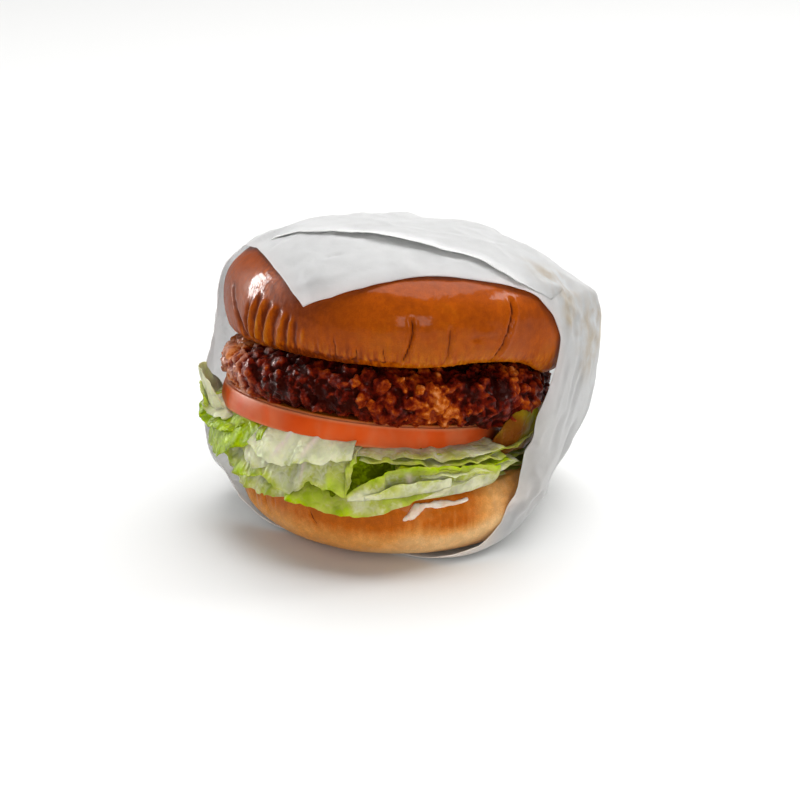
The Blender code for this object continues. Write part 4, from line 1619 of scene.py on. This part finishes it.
@dataclass
class LettucePile:
    """Leaves heaped on the heel: wavy ones inside, and shaped ones that show round the front."""

    layout: Layout
    finish: Material
    leaves: tuple[Leaf, ...]
    thickness: float = 0.42 * MM
    lowest: float = 2 * MM
    seed: int = 101

    @staticmethod
    def laid(leaf: Leaf) -> tuple[Array, Array, Array, float]:
        """A leaf's plain form, from its free edge in to its root.

        Args:
            leaf: how it is laid.

        Returns:
            A grid of points, the way in and the outward face at each column, and its length in mm.
        """
        angles, reaches, heights = np.array(leaf.edge, dtype=float).T
        knots = polar(reaches, np.radians(angles), heights) * MM
        length = np.linalg.norm(np.diff(knots, axis=0), axis=1).sum() / MM
        edge = through(knots, max(24, int(length / leaf.step)))
        inward = -edge * (1, 1, 0)
        inward /= np.linalg.norm(inward, axis=1, keepdims=True)
        root = edge + inward * leaf.depth * MM
        root[:, 2] = edge[:, 2] + leaf.rise * MM if leaf.root is None else leaf.root * MM
        run = root - edge
        face = np.cross(np.gradient(edge, axis=0), run)
        face /= np.linalg.norm(face, axis=1, keepdims=True)
        out = face[:, 2:] - 0.3 * (face * inward).sum(1, keepdims=True)
        face *= np.where(out < 0, -1, 1)
        middle = (edge + root) / 2 + face * leaf.belly * MM
        share = leaf.shares()[..., None]
        points = (1 - share) ** 2 * edge + 2 * share * (1 - share) * middle + share**2 * root
        return points, run / np.linalg.norm(run, axis=1, keepdims=True), face, length

    def sheet(self, leaf: Leaf, seed: int) -> tuple[Array, Array, dict[str, Array]]:
        """One leaf as a closed thin shell.

        Args:
            leaf: how it is laid.
            seed: its own noise.

        Returns:
            Points, faces and the numbers that the finish reads.
        """
        noise = Noise(seed)
        points, inward, face, length = self.laid(leaf)
        shape = points.shape[:2]
        share = leaf.shares()
        along, free = np.linspace(0, 1, shape[1]), 1 - share
        faces = grid_faces(*shape)
        normals = face_normals(points.reshape(-1, 3), faces).reshape(points.shape)
        normals *= np.sign((normals * face).sum(-1, keepdims=True) + 1e-9)
        spot = drawn_out(along * length + 0 * share, share * leaf.depth * 0.5 + 0 * along)
        spot = spot + seed * 17.3
        spot = spot + 1.8 * drawn_out(noise.hills(spot, 9.0), noise.hills(spot + 40, 9.0))
        size = leaf.frill_size
        frill = noise.hills(spot, size) + 0.5 * noise.hills(spot, size * 0.45)
        crinkle = noise.rough(points, 7 * MM, 3) - 0.5 * noise.ridges(points, 11 * MM)
        pleat = (noise.ridges(spot * (1, 0.45, 1) + 9.7, 11.0) - 0.4) * smooth(1.0, 0.55, share)
        push = leaf.frill * frill * free**1.3 + leaf.crinkle * crinkle + leaf.pleat * pleat
        cut = leaf.ragged * noise.rough(spot * (1, 0, 0) + 3.1, 3.0, 3) * free**3
        tint = leaf.edge_green * free**2.5 + 0.14 * frill * free + 0.10 * noise.hills(points, 9 * MM)
        end = leaf.green if leaf.green_end is None else leaf.green_end
        green = np.linspace(leaf.green, end, shape[1]) + tint
        vein = np.zeros(shape)
        for rib in leaf.ribs:
            away = (along - rib - 0.06 * (share - 0.5)) * length
            vein = np.maximum(vein, bump(away, 0, 0.9) * smooth(0.02, 0.4, share))
        push = push + 0.45 * vein
        flat = (points + (normals * push[..., None] + inward * cut[..., None]) * MM).reshape(-1, 3)
        taper = 0.35 + 0.65 * smooth(0.0, 0.12, share) + 0 * along
        half = face_normals(flat, faces) * taper.reshape(-1, 1) * self.thickness / 2
        vertices, faces = shell(flat + half, flat - half, faces)
        stain_and_shade = np.clip(leaf.stain_and_shade * (1 + 0.6 * noise.hills(flat, 8 * MM)), 0, 1)
        numbers = {"green": green, "vein": vein, "stain_and_shade": stain_and_shade}
        return vertices, faces, {name: np.tile(value.ravel(), 2) for name, value in numbers.items()}

    def build(self) -> Object:
        """Makes the whole pile as one piece.

        Returns:
            The finished piece.
        """
        sheets = [self.sheet(leaf, seed) for seed, leaf in enumerate(self.leaves, self.seed)]
        counts = np.cumsum([0] + [len(sheet[0]) for sheet in sheets])
        points = self.layout.level(np.concatenate([sheet[0] for sheet in sheets]))
        points[:, 2] = np.maximum(points[:, 2], self.lowest)
        faces = np.concatenate([sheet[1] + count for sheet, count in zip(sheets, counts)])
        names = ("green", "vein", "stain_and_shade")
        layers = {name: np.concatenate([sheet[2][name] for sheet in sheets]) for name in names}
        piece = make_piece("lettuce", points, faces, self.finish, layers)
        hand_over(piece, "lettuce_leaf", "lettuce")
        return piece


def lettuce_leaves() -> tuple[Leaf, ...]:
    """The leaves, from the hidden inner ones to those that show in front."""
    reach = 46
    inner = tuple(
        Leaf(
            tuple(
                (turn, reach + 1.5 * math.sin(turn * 0.11 + level),
                 height - 0.13 * reach * math.sin(math.radians(turn)))
                for turn in range(-200, 161, 20)
            ),
            depth=44, rise=0.5, belly=0.6, frill=1.2, frill_size=12, green=0.25, edge_green=0.15,
            rows=16, step=1.6,
        )
        for level, height in enumerate((21.5, 24.0, 26.0))
    )
    shown = (
        # left stand
        Leaf(((-166, 57, 40), (-160, 58.4, 46.5), (-154, 58.8, 49.5), (-148, 58.2, 49),
              (-142, 56.4, 45)),
             depth=4.5, root=31, belly=1.6, green=-0.3, edge_green=0.08, frill=1.3, frill_size=5,
             ragged=0.7),
        # left fringe
        Leaf(((-164, 57.5, 39), (-158, 59.2, 42), (-152, 59.8, 42.5), (-146, 58.5, 39)),
             depth=5, root=31, belly=1.5, green=0.0, edge_green=0.25, frill=1.6, frill_size=4,
             ragged=1.6),
        # left white
        Leaf(((-166, 54, 36), (-158, 57.5, 37.5), (-150.5, 59.3, 37), (-144, 57.5, 36),
              (-136, 54, 37)),
             depth=11, root=40.5, belly=0.8, frill=1.2, frill_size=4.5, ragged=1.2, green=-0.1,
             edge_green=0.12),
        # left tip
        Leaf(((-158, 56, 37), (-153.5, 60.0, 36), (-149, 59.5, 32.6), (-144.5, 58, 32),
              (-139, 57, 33.5), (-132, 55.5, 34.5), (-124, 53, 38)),
             depth=12, root=40.5, belly=1.0, frill=1.2, frill_size=5, ragged=1.4, green=0.52,
             edge_green=0.25, pleat=0.4),
        # under tip
        Leaf(((-160, 53, 31), (-152, 55.5, 27), (-145, 55.5, 26), (-138, 54.5, 27), (-130, 54, 29)),
             depth=10, root=37, belly=1.5, frill=1.2, frill_size=5, ragged=1.2, green=-0.1,
             edge_green=0.10),
        # bright lobe
        Leaf(((-151, 57.4, 25.8), (-147.5, 57.8, 25.0), (-143, 57.4, 25.8), (-139, 57.2, 25.0),
              (-134.5, 57.2, 25.6), (-130, 57, 28), (-125, 56.5, 31.5), (-119, 55, 34),
              (-113, 53.5, 38)),
             depth=8, root=41.0, belly=2.6, frill=1.0, frill_size=7, ragged=1.3, green=0.66,
             edge_green=0.10, pleat=0.5, crinkle=0.7),
        # clear fold
        Leaf(((-123, 54, 32), (-119, 55, 29.5), (-114, 55.2, 28.4), (-109, 54.8, 30),
              (-103, 53.5, 35)),
             depth=7, root=40.5, belly=2.0, frill=1.4, frill_size=5, green=-0.12, edge_green=0.20,
             pleat=1.0, ragged=1.0),
        # right back
        Leaf(((-62, 47, 37), (-45, 48.5, 35.5), (-30, 49.5, 34.5), (-14, 50.5, 34), (0, 50, 36)),
             depth=12, root=30, belly=2, green=0.30, edge_green=0.1, frill=1.0, stain_and_shade=0.2),
        # right stand: its strong stain is partly painted shade behind the tomato's right end
        Leaf(((-23.5, 48.5, 39.5), (-16, 49.5, 44), (-5, 50.5, 44.5), (8, 50.5, 43)),
             depth=3, root=30, belly=2.6, green=0.8, edge_green=0.1, frill=0.9, stain_and_shade=0.8),
        # rib leaf
        Leaf(((-117, 54.6, 35.4), (-111, 56.4, 33.8), (-104, 56.8, 33.2), (-97, 56.6, 34.4),
              (-90, 55.8, 35.8), (-78, 53.4, 37.2)),
             depth=8, root=41, belly=0.9, ribs=(0.35, 0.62), green=-0.12, edge_green=0.20,
             ragged=1.5, frill=1.9, frill_size=6, pleat=1.8),
        # pocket
        Leaf(((-84, 50, 29), (-74, 50.5, 28), (-64, 50, 29), (-54, 50, 32)),
             depth=7, root=40, belly=-1.5, green=0.88, edge_green=0.0, frill=1.0),
        # under left
        Leaf(((-143, 51.5, 22.5), (-134, 52.5, 20.5), (-126, 53, 19.2), (-118, 53, 18.9),
              (-109, 53.5, 20.2), (-98, 53, 22.5)),
             depth=10, root=31, belly=2.4, green=0.02, edge_green=0.34, frill=1.6, ragged=1.5,
             frill_size=5),
        # left mid
        Leaf(((-136, 54, 27), (-129, 54.8, 24.4), (-122, 55, 23.6), (-115, 55, 25.2),
              (-108, 54.5, 28)),
             depth=8, root=36, belly=2.2, green=0.12, edge_green=0.40, frill=1.4, ragged=1.2,
             frill_size=5),
        # under dark
        Leaf(((-112, 53, 26), (-104, 53.5, 23.5), (-96, 53.8, 22.6), (-86, 53.8, 23.4),
              (-76, 53, 25)),
             depth=9, root=33, belly=1.5, green=0.86, edge_green=0.0, frill=1.2, frill_size=5),
        # big pale
        Leaf(((-121, 53, 30.5), (-114.5, 54.3, 28.5), (-108, 55.5, 27.2), (-103, 55.9, 25.4),
              (-99.3, 55.9, 24.0), (-95.5, 55.9, 26.0), (-92.5, 55.7, 29.4), (-89, 55.5, 28.2),
              (-85, 55.6, 27.8), (-82, 55.7, 26.6), (-80, 55.5, 25.6), (-77.8, 55, 30),
              (-75.8, 54, 37)),
             depth=9, root=38.5, belly=1.9, ribs=(0.5,), green=0.02, green_end=0.16,
             edge_green=0.30, frill=1.6, frill_size=6, ragged=1.3, crinkle=0.9, pleat=1.6),
        # right face
        Leaf(((-80, 54.5, 26.0), (-76.5, 55, 29), (-72, 55, 31.6), (-66, 54.6, 34.2),
              (-60, 54, 35.6), (-52, 53.3, 35.0), (-44, 52.6, 33.8), (-36, 52, 32.5),
              (-26, 51, 30.5)),
             depth=3, root=23.5, belly=-1.8, green=-0.02, green_end=0.12, edge_green=0.60,
             frill=0.9, ragged=0.6, ribs=(0.42,), pleat=0.9),
        # face fold
        Leaf(((-74, 55.6, 26.4), (-68, 55.6, 29.0), (-61, 55.2, 30.8), (-54, 54.4, 31.2),
              (-46, 53.6, 30.4)),
             depth=3, root=24.5, belly=-0.8, green=-0.05, edge_green=0.22, frill=0.8, ragged=0.8,
             pleat=0.8),
        # strip 0
        Leaf(((-80, 50.5, 37.8), (-66, 51, 37.2), (-50, 51, 36.2), (-36, 50.8, 34.8),
              (-22, 50, 34.2)),
             depth=12, rise=0.6, belly=0.8, green=0.0, edge_green=0.14, frill=0.8, ragged=0.6,
             stain_and_shade=0.16),
        # strip 1
        Leaf(((-76, 51.6, 36.2), (-62, 52.2, 35.6), (-50, 52, 34.6), (-38, 51.5, 33.2),
              (-22, 50.8, 32.2)),
             depth=14, rise=1.0, belly=0.8, green=0.06, edge_green=0.28, frill=0.8, ragged=0.8,
             stain_and_shade=0.12),
        # strip 2
        Leaf(((-64, 52.8, 34.4), (-55, 53, 33.6), (-46, 52.5, 32.4), (-36, 52, 31.2),
              (-20, 51, 30.4)),
             depth=14, rise=1.0, belly=0.8, green=0.36, edge_green=0.26, frill=0.9, ragged=0.8,
             stain_and_shade=0.2),
        # strip 3
        Leaf(((-56, 53.5, 32.4), (-47, 53.5, 31.4), (-38, 53, 30.2), (-28, 52, 29.4), (-16, 51, 29)),
             depth=14, rise=1.2, belly=0.8, green=0.0, edge_green=0.16, frill=0.9, ragged=0.6),
        # bottom
        Leaf(((-101.5, 54.5, 23.6), (-99, 56.2, 21.6), (-95, 56.6, 22.2), (-91, 56.4, 22.0),
              (-87, 56, 20.8), (-80, 56, 20.0), (-71, 56, 20.8), (-62, 55.3, 23.4),
              (-50, 53.6, 26.8), (-38, 52, 28.4), (-24, 51, 28.8)),
             depth=8, root=29.0, belly=1.3, green=0.46, green_end=-0.15, edge_green=0.20, frill=1.0,
             ragged=0.7, crinkle=0.4, pleat=0.6, stain_and_shade=0.06),
    )
    return inner + shown


# ---- paper


@dataclass(frozen=True)
class FoldLine:
    """A long fold in the paper through (roll, reach), with its width in degrees.

    Its height is in mm, and below 0 for a valley.
    """

    path: tuple[tuple[float, float], ...]
    width: float
    height: float

    def rise(self, roll: Array, reach: Array) -> Array:
        """Height of the fold at each point, sharp along its crest and fading at its two ends."""
        nearest = np.full(roll.shape, 1e9)
        for (a, b), (c, d) in zip(self.path, self.path[1:]):
            run = np.array([c - a, d - b], dtype=float)
            share = np.clip(((roll - a) * run[0] + (reach - b) * run[1]) / (run @ run), 0, 1)
            away = np.hypot(roll - a - share * run[0], reach - b - share * run[1])
            nearest = np.minimum(nearest, away)
        return self.height * np.exp(-((nearest / self.width) ** 1.3))


@dataclass
class PaperWrap:
    """The paper: one taut sheet with a pointed flap, and a second layer folded back over its top.

    Its places are given by two angles about the wrap's centre, in degrees: roll turns from 0 at
    the top to 90 at the right, and reach from 0 at the front to 180 at the back.
    """

    layout: Layout
    finish: Material
    inside: tuple[Object, ...]
    centre: float = 46 * MM
    thickness: float = 0.26 * MM
    gap: float = 0.55 * MM  # least distance of its outer face from the food
    lift: float = 0.62 * MM
    layer_lift: float = 0.95 * MM
    columns: int = 336
    rows: int = 138
    fold_columns: int = 150
    fold_rows: int = 110
    seed: int = 83
    tip_roll: float = -11.0
    far: float = 0.12  # from its centre to a place outside everything
    opening: float = 2.0 * MM
    fold_span: tuple[float, float] = (-43, 60)
    mouth: tuple = (
        (-180, 52), (-142, 59), (-123, 66), (-112, 72), (-71, 72.5), (-57, 78), (-53, 83),
        (-43, 73), (-38.5, 66.3), (-28.7, 53.2), (-18, 42), (-11, 36.8), (2.5, 40), (13.5, 45.3),
        (21, 50.8), (30, 59), (43.5, 71), (52, 79.3), (56, 83.8), (61, 86), (66, 88.5), (72, 91.5),
        (80, 88.5), (92, 80), (104, 73), (128, 71), (143, 57.5), (180, 52),
    )
    folds: tuple[FoldLine, ...] = (
        FoldLine(((70, 97), (84, 98), (94, 93), (99, 84), (102, 77)), 2.6, 2.0),
        FoldLine(((76, 106), (90, 108), (101, 102), (109, 92), (115, 82)), 3.0, 2.4),
        FoldLine(((90, 117), (104, 111), (114, 100), (123, 88)), 3.0, 2.2),
        FoldLine(((112, 78), (118, 84), (124, 92), (128, 102)), 1.6, 1.2),
        FoldLine(((76, 112), (80, 118)), 1.6, 1.6),
        FoldLine(((82, 110), (86, 117)), 1.4, 1.4),
        FoldLine(((86, 112), (84, 106)), 1.3, 1.2),
        FoldLine(((56, 92), (63, 104), (68, 120)), 2.2, 1.2),
        FoldLine(((62, 96), (70, 106)), 1.6, 1.0),
        FoldLine(((118, 76), (128, 82), (140, 84)), 2.2, 0.9),
        FoldLine(((-75, 78), (-95, 82), (-118, 78)), 3.0, 1.2),
        FoldLine(((-60, 92), (-85, 96), (-108, 92)), 2.6, -0.9),
        FoldLine(((-20, 74), (10, 100), (30, 130)), 2.4, 0.7),
        FoldLine(((-30, 96), (4, 88), (40, 92)), 2.2, 0.6),
        FoldLine(((20, 78), (34, 92), (44, 112)), 2.0, 0.6),
        FoldLine(((-7.5, 54.5), (-5, 56.2), (-3, 57)), 0.8, -0.9),
    )
    spots: tuple = (  # grease, as (roll, reach, width, height)
        (55, 97, 7, 7), (62, 102, 6, 6), (68, 98, 4, 4), (74, 112, 7, 9), (84, 110, 6, 8),
        (78, 122, 6, 8),
    )
    flare: float = 2.0  # how far the paper stands off at its left mouth, in mm
    shoulder: float = 1.9  # how far the paper stands off at its right shoulder, in mm
    tuck: float = 1.9  # how far the paper is drawn in low on the right, in mm
    fold: tuple = (
        (-38, 76.5), (-27, 73), (-16, 71), (-5, 70), (17, 69.6), (28, 71.5), (38, 76.8), (44, 77.9),
        (50, 79.6), (55, 84.6), (60, 89),
    )

    def __post_init__(self) -> None:
        """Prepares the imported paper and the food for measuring."""
        self.packed = surface_of(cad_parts["paper_wrap"].data)
        self.food = [surface_of(piece.data) for piece in self.inside]
        self.middle = self.layout.shift + np.array([0, 0, self.centre])

    @staticmethod
    def directions(roll: Array, reach: Array) -> Array:
        """Unit vectors from the wrap's centre for the two angles."""
        roll, reach = np.radians(roll), np.radians(reach)
        wide = np.sin(reach)
        return np.stack([wide * np.sin(roll), -np.cos(reach), wide * np.cos(roll)], -1)

    def measured(self, roll: Array, reach: Array, sigma: float, closed: bool) -> Array:
        """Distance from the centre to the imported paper's inner face, smoothed over its facets.

        Args:
            roll: grid of rolls.
            reach: grid of reaches.
            sigma: how far the smoothing reaches along the rows.
            closed: True where the columns come round to their start.

        Returns:
            A grid of distances in metres.
        """
        rays, start = self.directions(roll, reach), Vector(self.middle)
        distance = np.full(roll.shape, np.nan)
        for row, column in np.ndindex(*roll[::-1].shape):
            row = len(roll) - 1 - row
            hit = self.packed.ray_cast(start, Vector(rays[row, column]))[3]
            distance[row, column] = distance[row + 1, column] if hit is None else hit
        return blur(blur(distance, sigma, 1, closed), 3.0, 0, False)

    def crumple(self, roll: Array, reach: Array, points: Array, noise: Noise) -> Array:
        """How far the paper stands out from its taut form, in mm: soft folds and sharp creases.

        Args:
            roll: roll of each point.
            reach: reach of each point.
            points: places of the points.
            noise: the wrap's own noise.

        Returns:
            Heights in mm.
        """
        soft = 0.45 * noise.hills(points, 24 * MM) + 0.30 * noise.hills(points, 11 * MM)
        side = about(roll, 104, 36) * smooth(70, 80, reach) * smooth(146, 118, reach)
        fine = 0.35 * (noise.ridges(points, 9 * MM) - 0.5) * (1 - side)
        sharp = (1.15 - 0.4 * side) * (noise.ridges(points, 23 * MM) - 0.45) + fine
        across = drawn_out(reach * 0.82 + roll * 0.45, roll * 0.09 - reach * 0.05)
        streaks = (1.7 * (noise.ridges(across, 7.5) - 0.5) + 0.45 * noise.hills(across, 3.6)) * side
        left = about(roll, -110, 40) * smooth(68, 78, reach) * smooth(130, 105, reach)
        drapes = 0.9 * noise.hills(drawn_out(roll * 0.4, reach * 0.08), 5.0) * left
        back = smooth(105, 140, reach) * smooth(180, 160, reach)
        turn = roll * 5.5 + 70 * noise.hills(points, 38 * MM)
        deep = 1.2 * (1 + 0.6 * noise.hills(points, 17 * MM))
        gathers = deep * np.abs(np.sin(np.radians(turn))) * back
        lines = sum(line.rise(roll, reach) for line in self.folds)
        return soft + sharp + streaks + drapes + gathers + lines

    def taut(self, roll: Array, reach: Array, distance: Array, noise: Noise) -> Array:
        """Points of the paper's outer face, that far from the centre and crumpled."""
        rays = self.directions(roll, reach)
        points = rays * distance[..., None] + self.middle
        rise = self.crumple(roll, reach, points, noise)
        edge = read_off(roll, self.mouth)
        rise *= 1 - about(roll, 5, 46) * smooth(9, 1, reach - edge)
        room = self.clear(points)
        rise = np.clip(rise, -1.0, 1.1 + 1.5 * room) * smooth(0.5, 7.0, points[..., 2] / MM)
        rise -= self.tuck * about(roll, 126, 13) * bump(reach, 92, 14)
        left = about(roll, -98, 26) * smooth(100, 82, reach)
        right = about(roll, 84, 18) * bump(reach, 110, 17)
        rise = rise * (0.6 + 0.4 * room) + self.flare * left + self.shoulder * right
        return self.kept_out(points + rays * (rise * MM)[..., None], rays)

    def kept_out(self, points: Array, rays: Array) -> Array:
        """Pushes the sheet out wherever the food would come through it.

        Args:
            points: points of the sheet's outer face.
            rays: their directions from the wrap's centre.

        Returns:
            The points, each at least a gap outside the food.
        """
        start, widest = self.middle + rays * self.far, np.zeros(rays.shape[:2])
        for spot, tree in itertools.product(np.ndindex(*widest.shape), self.food):
            hit = tree.ray_cast(Vector(start[spot]), Vector(-rays[spot]), self.far)[3]
            widest[spot] = max(widest[spot], 0 if hit is None else self.far - hit)
        reach = np.linalg.norm(points - self.middle, axis=-1)
        push = np.maximum(0, widest + self.gap - reach)
        push = np.maximum(push, blur(blur(push, 1.5, 0, False), 1.5, 1, False))
        return points + rays * push[..., None]

    @staticmethod
    def clear(points: Array) -> Array:
        """1 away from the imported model's widest sides, 0 close to them, to keep folds in its box."""
        low, high = np.array(CAD_BOX)
        near = np.minimum(points - low, high - points)[..., :2].min(-1)
        return smooth(0.3 * MM, 6 * MM, np.minimum(near, high[2] - points[..., 2]))

    def marks(self, roll: Array, reach: Array, outer: Array, closed: bool) -> dict[str, Array]:
        """Where one face of a sheet is soaked with grease, and where painted shade lies in its
        creases.
        """
        grease = sum(
            bump(turned(roll, turn) / wide, 0, 1) * bump(reach, middle, high)
            for turn, middle, wide, high in self.spots
        )
        away = np.linalg.norm(outer - self.middle, axis=-1)
        sunk = blur(blur(away, 3.0, 1, closed), 3.0, 0, False) - away
        # Painted shade: the sunk places of the sheet (crease).
        return {"grease": np.clip(grease, 0, 1), "crease": smooth(0.10 * MM, 0.60 * MM, sunk)}

    def wrap(self) -> Object:
        """Makes the main sheet, closed round the back and under the heel.

        Returns:
            The finished piece.
        """
        rolls = turned(self.tip_roll + 360 * np.arange(self.columns) / self.columns)
        mouth = read_off(rolls, self.mouth)
        share = np.linspace(0, 1, self.rows, endpoint=False)[:, None]
        reach = mouth + (180 - mouth) * share**1.12
        roll = np.broadcast_to(rolls, reach.shape)
        base = self.measured(roll, reach, 2.6, True)
        outer = self.taut(roll, reach, base + self.lift, Noise(self.seed))
        inner = outer - self.directions(roll, reach) * self.thickness
        front, back = (
            np.concatenate([side.reshape(-1, 3), side[-1:].mean(1)]) for side in (outer, inner)
        )
        front[:, 2] = np.maximum(front[:, 2], 0.0)
        back[:, 2] = np.maximum(back[:, 2], 0.25 * MM)
        count = self.rows * self.columns
        faces = np.concatenate([
            grid_faces(self.rows, self.columns, closed=True)[:, ::-1],
            fan_faces(count, np.arange(count - self.columns, count), last=False),
        ])
        marks = self.marks(roll, reach, outer, True)
        layers = {name: np.tile(np.append(values, 0), 2) for name, values in marks.items()}
        piece = make_piece("paper_wrap", *shell(front, back, faces), self.finish, layers)
        hand_over(piece, "wrap_paper", "paper_wrap")
        return piece

    def layer(self) -> Object:
        """Makes the second layer, whose front edge stands a little open over the first.

        Returns:
            The finished piece.
        """
        rolls = np.linspace(*self.fold_span, self.fold_columns)
        edge = read_off(rolls, self.fold)
        end = 140 - 12 * np.abs(rolls - 8) / 50
        share = np.linspace(0, 1, self.fold_rows)[:, None]
        reach = edge + (end - edge) * share
        roll = np.broadcast_to(rolls, reach.shape)
        low, high = self.fold_span
        sides = smooth(low, low + 10, roll) * smooth(high, high - 12, roll)
        inside = sides * smooth(1.0, 0.86, share)
        open_edge = self.opening * bump(roll, 14, 26) * smooth(0.14, 0.0, share) * sides
        lift = self.lift + 0.08 * MM + self.layer_lift * inside - 0.22 * MM * (1 - inside)
        base = self.measured(roll, reach, 3.0, False)
        outer = self.taut(roll, reach, base + lift + open_edge, Noise(self.seed))
        inner = outer - self.directions(roll, reach) * self.thickness
        faces = grid_faces(*reach.shape)[:, ::-1]
        marks = self.marks(roll, reach, outer, False)
        layers = {name: np.tile(values.ravel(), 2) for name, values in marks.items()}
        sides = shell(outer.reshape(-1, 3), inner.reshape(-1, 3), faces)
        piece = make_piece("paper_fold", *sides, self.finish, layers)
        hand_over(piece, "wrap_paper")
        return piece


# ---- studio


CORNERS = ((-1, -1), (1, -1), (1, 1), (-1, 1))


class LightShape(Enum):
    """Outline of a softbox."""

    SQUARE = "SQUARE"
    OBLONG = "RECTANGLE"


@dataclass(frozen=True)
class Softbox:
    """A lamp with a flat face: where it stands, what it looks at, and its size and power."""

    name: str
    spot: tuple[float, float, float]
    size: tuple[float, float]
    power: float
    shape: LightShape = LightShape.OBLONG
    roll: float = 0.0  # turn about its own axis, in degrees
    glint: bool = False  # True where it is seen only in reflections

    def build(self, aim: Vector) -> None:
        """Hangs the lamp, turned to its aim."""
        light = bpy.data.lights.new(self.name, "AREA")
        light.shape = self.shape.value
        light.size = self.size[0]
        if self.shape is LightShape.OBLONG:
            light.size_y = self.size[1]
        light.energy = self.power
        lamp = bpy.data.objects.new(self.name, light)
        lamp.visible_diffuse = not self.glint
        lamp.location = self.spot
        facing = (aim - Vector(self.spot)).to_track_quat("-Z", "Y")
        lamp.rotation_euler = (facing @ Quaternion((0, 0, 1), math.radians(self.roll))).to_euler()
        bpy.context.scene.collection.objects.link(lamp)


@dataclass
class Studio:
    """A pale floor, soft light from above and the left, and the camera."""

    layout: Layout
    azimuth: float = math.radians(24)
    elevation: float = math.radians(21)
    distance: float = 0.70
    lens: float = 100.0
    sideways: float = 3 * MM
    aim_height: float = 36 * MM
    world: float = 0.33
    floor_reach: float = 6.0
    lamps: tuple[Softbox, ...] = (
        Softbox("key_top", (-0.05, 0.36, 1.60), (1.6, 1.6), 36.5, LightShape.SQUARE),
        Softbox("window_left", (-0.95, 0.02, 0.30), (0.10, 0.62), 15.0, roll=35, glint=True),
        Softbox("soft_left", (-1.1, -0.2, 0.5), (0.8, 0.8), 1.6, LightShape.SQUARE, glint=True),
        Softbox("front_right", (0.75, -1.1, 0.42), (0.6, 0.5), 5.0),
        Softbox("back_right", (0.65, 0.55, 0.75), (0.25, 0.25), 2.4, LightShape.SQUARE),
    )

    def build(self) -> None:
        """Sets up the floor, the lamps, the world and the camera."""
        self.floor()
        aim = Vector(self.layout.shift) + Vector((0, 0, self.aim_height))
        for lamp in self.lamps:
            lamp.build(aim)
        world = bpy.data.worlds.new("studio")
        world.use_nodes = True
        sky = world.node_tree.nodes["Background"]
        sky.inputs["Color"].default_value = paint(255, 255, 255)
        sky.inputs["Strength"].default_value = self.world
        bpy.context.scene.world = world
        bpy.context.scene.view_settings.view_transform = "Standard"
        self.camera(aim)

    def floor(self) -> None:
        """A wide plain floor under the paper."""
        mesh = bpy.data.meshes.new("floor")
        corners = [(x * self.floor_reach, y * self.floor_reach, 0) for x, y in CORNERS]
        mesh.from_pydata(corners, [], [range(4)])
        mesh.materials.append(FloorFinish("studio_floor").build())
        floor = bpy.data.objects.new("floor", mesh)
        bpy.context.scene.collection.objects.link(floor)

    def camera(self, aim: Vector) -> None:
        """Stands the camera in front, to the right and above, looking at the burger's middle."""
        across = Vector((math.cos(self.azimuth), math.sin(self.azimuth), 0))
        level = Vector((math.sin(self.azimuth), -math.cos(self.azimuth), 0))
        away = level * math.cos(self.elevation) + Vector((0, 0, math.sin(self.elevation)))
        data = bpy.data.cameras.new("camera")
        data.lens = self.lens
        camera = bpy.data.objects.new("camera", data)
        camera.location = aim + across * self.sideways + away * self.distance
        camera.rotation_euler = away.to_track_quat("Z", "Y").to_euler()
        bpy.context.scene.collection.objects.link(camera)
        bpy.context.scene.camera = camera


def main() -> None:
    """Builds the burger piece by piece, then the studio."""
    logging.basicConfig(level=logging.INFO, format="%(message)s")
    layout = Layout()
    mottle, grain = mottle_effect(), grain_effect()
    crust = CrustFinish("bun_crust", mottle, grain).build()
    pale_crust = CrustFinish(
        "bun_pale_crust", mottle, grain, paint(232, 186, 128), paint(222, 152, 78),
        paint(190, 96, 16), paint(132, 58, 8), shine=0.12, roughness=0.4,
    ).build()
    crown = Crown(layout, crust).build()
    heel = Heel(layout, pale_crust)
    foot = heel.build()
    SauceSmear(heel, SauceFinish("mayonnaise", mottle).build()).build()
    TomatoSlice(layout, TomatoFinish("tomato_red", mottle).build()).build()
    fillet = ChickenFillet(layout, FriedFinish("fried_crust", mottle, grain).build()).build()
    LettucePile(layout, LeafFinish("lettuce_leaf", mottle).build(), lettuce_leaves()).build()
    white = PaperFinish("wrap_paper", mottle, grain).build()
    paper = PaperWrap(layout, white, (crown, foot, fillet))
    paper.wrap()
    paper.layer()
    Studio(layout).build()


if __name__ == "__main__":
    main()
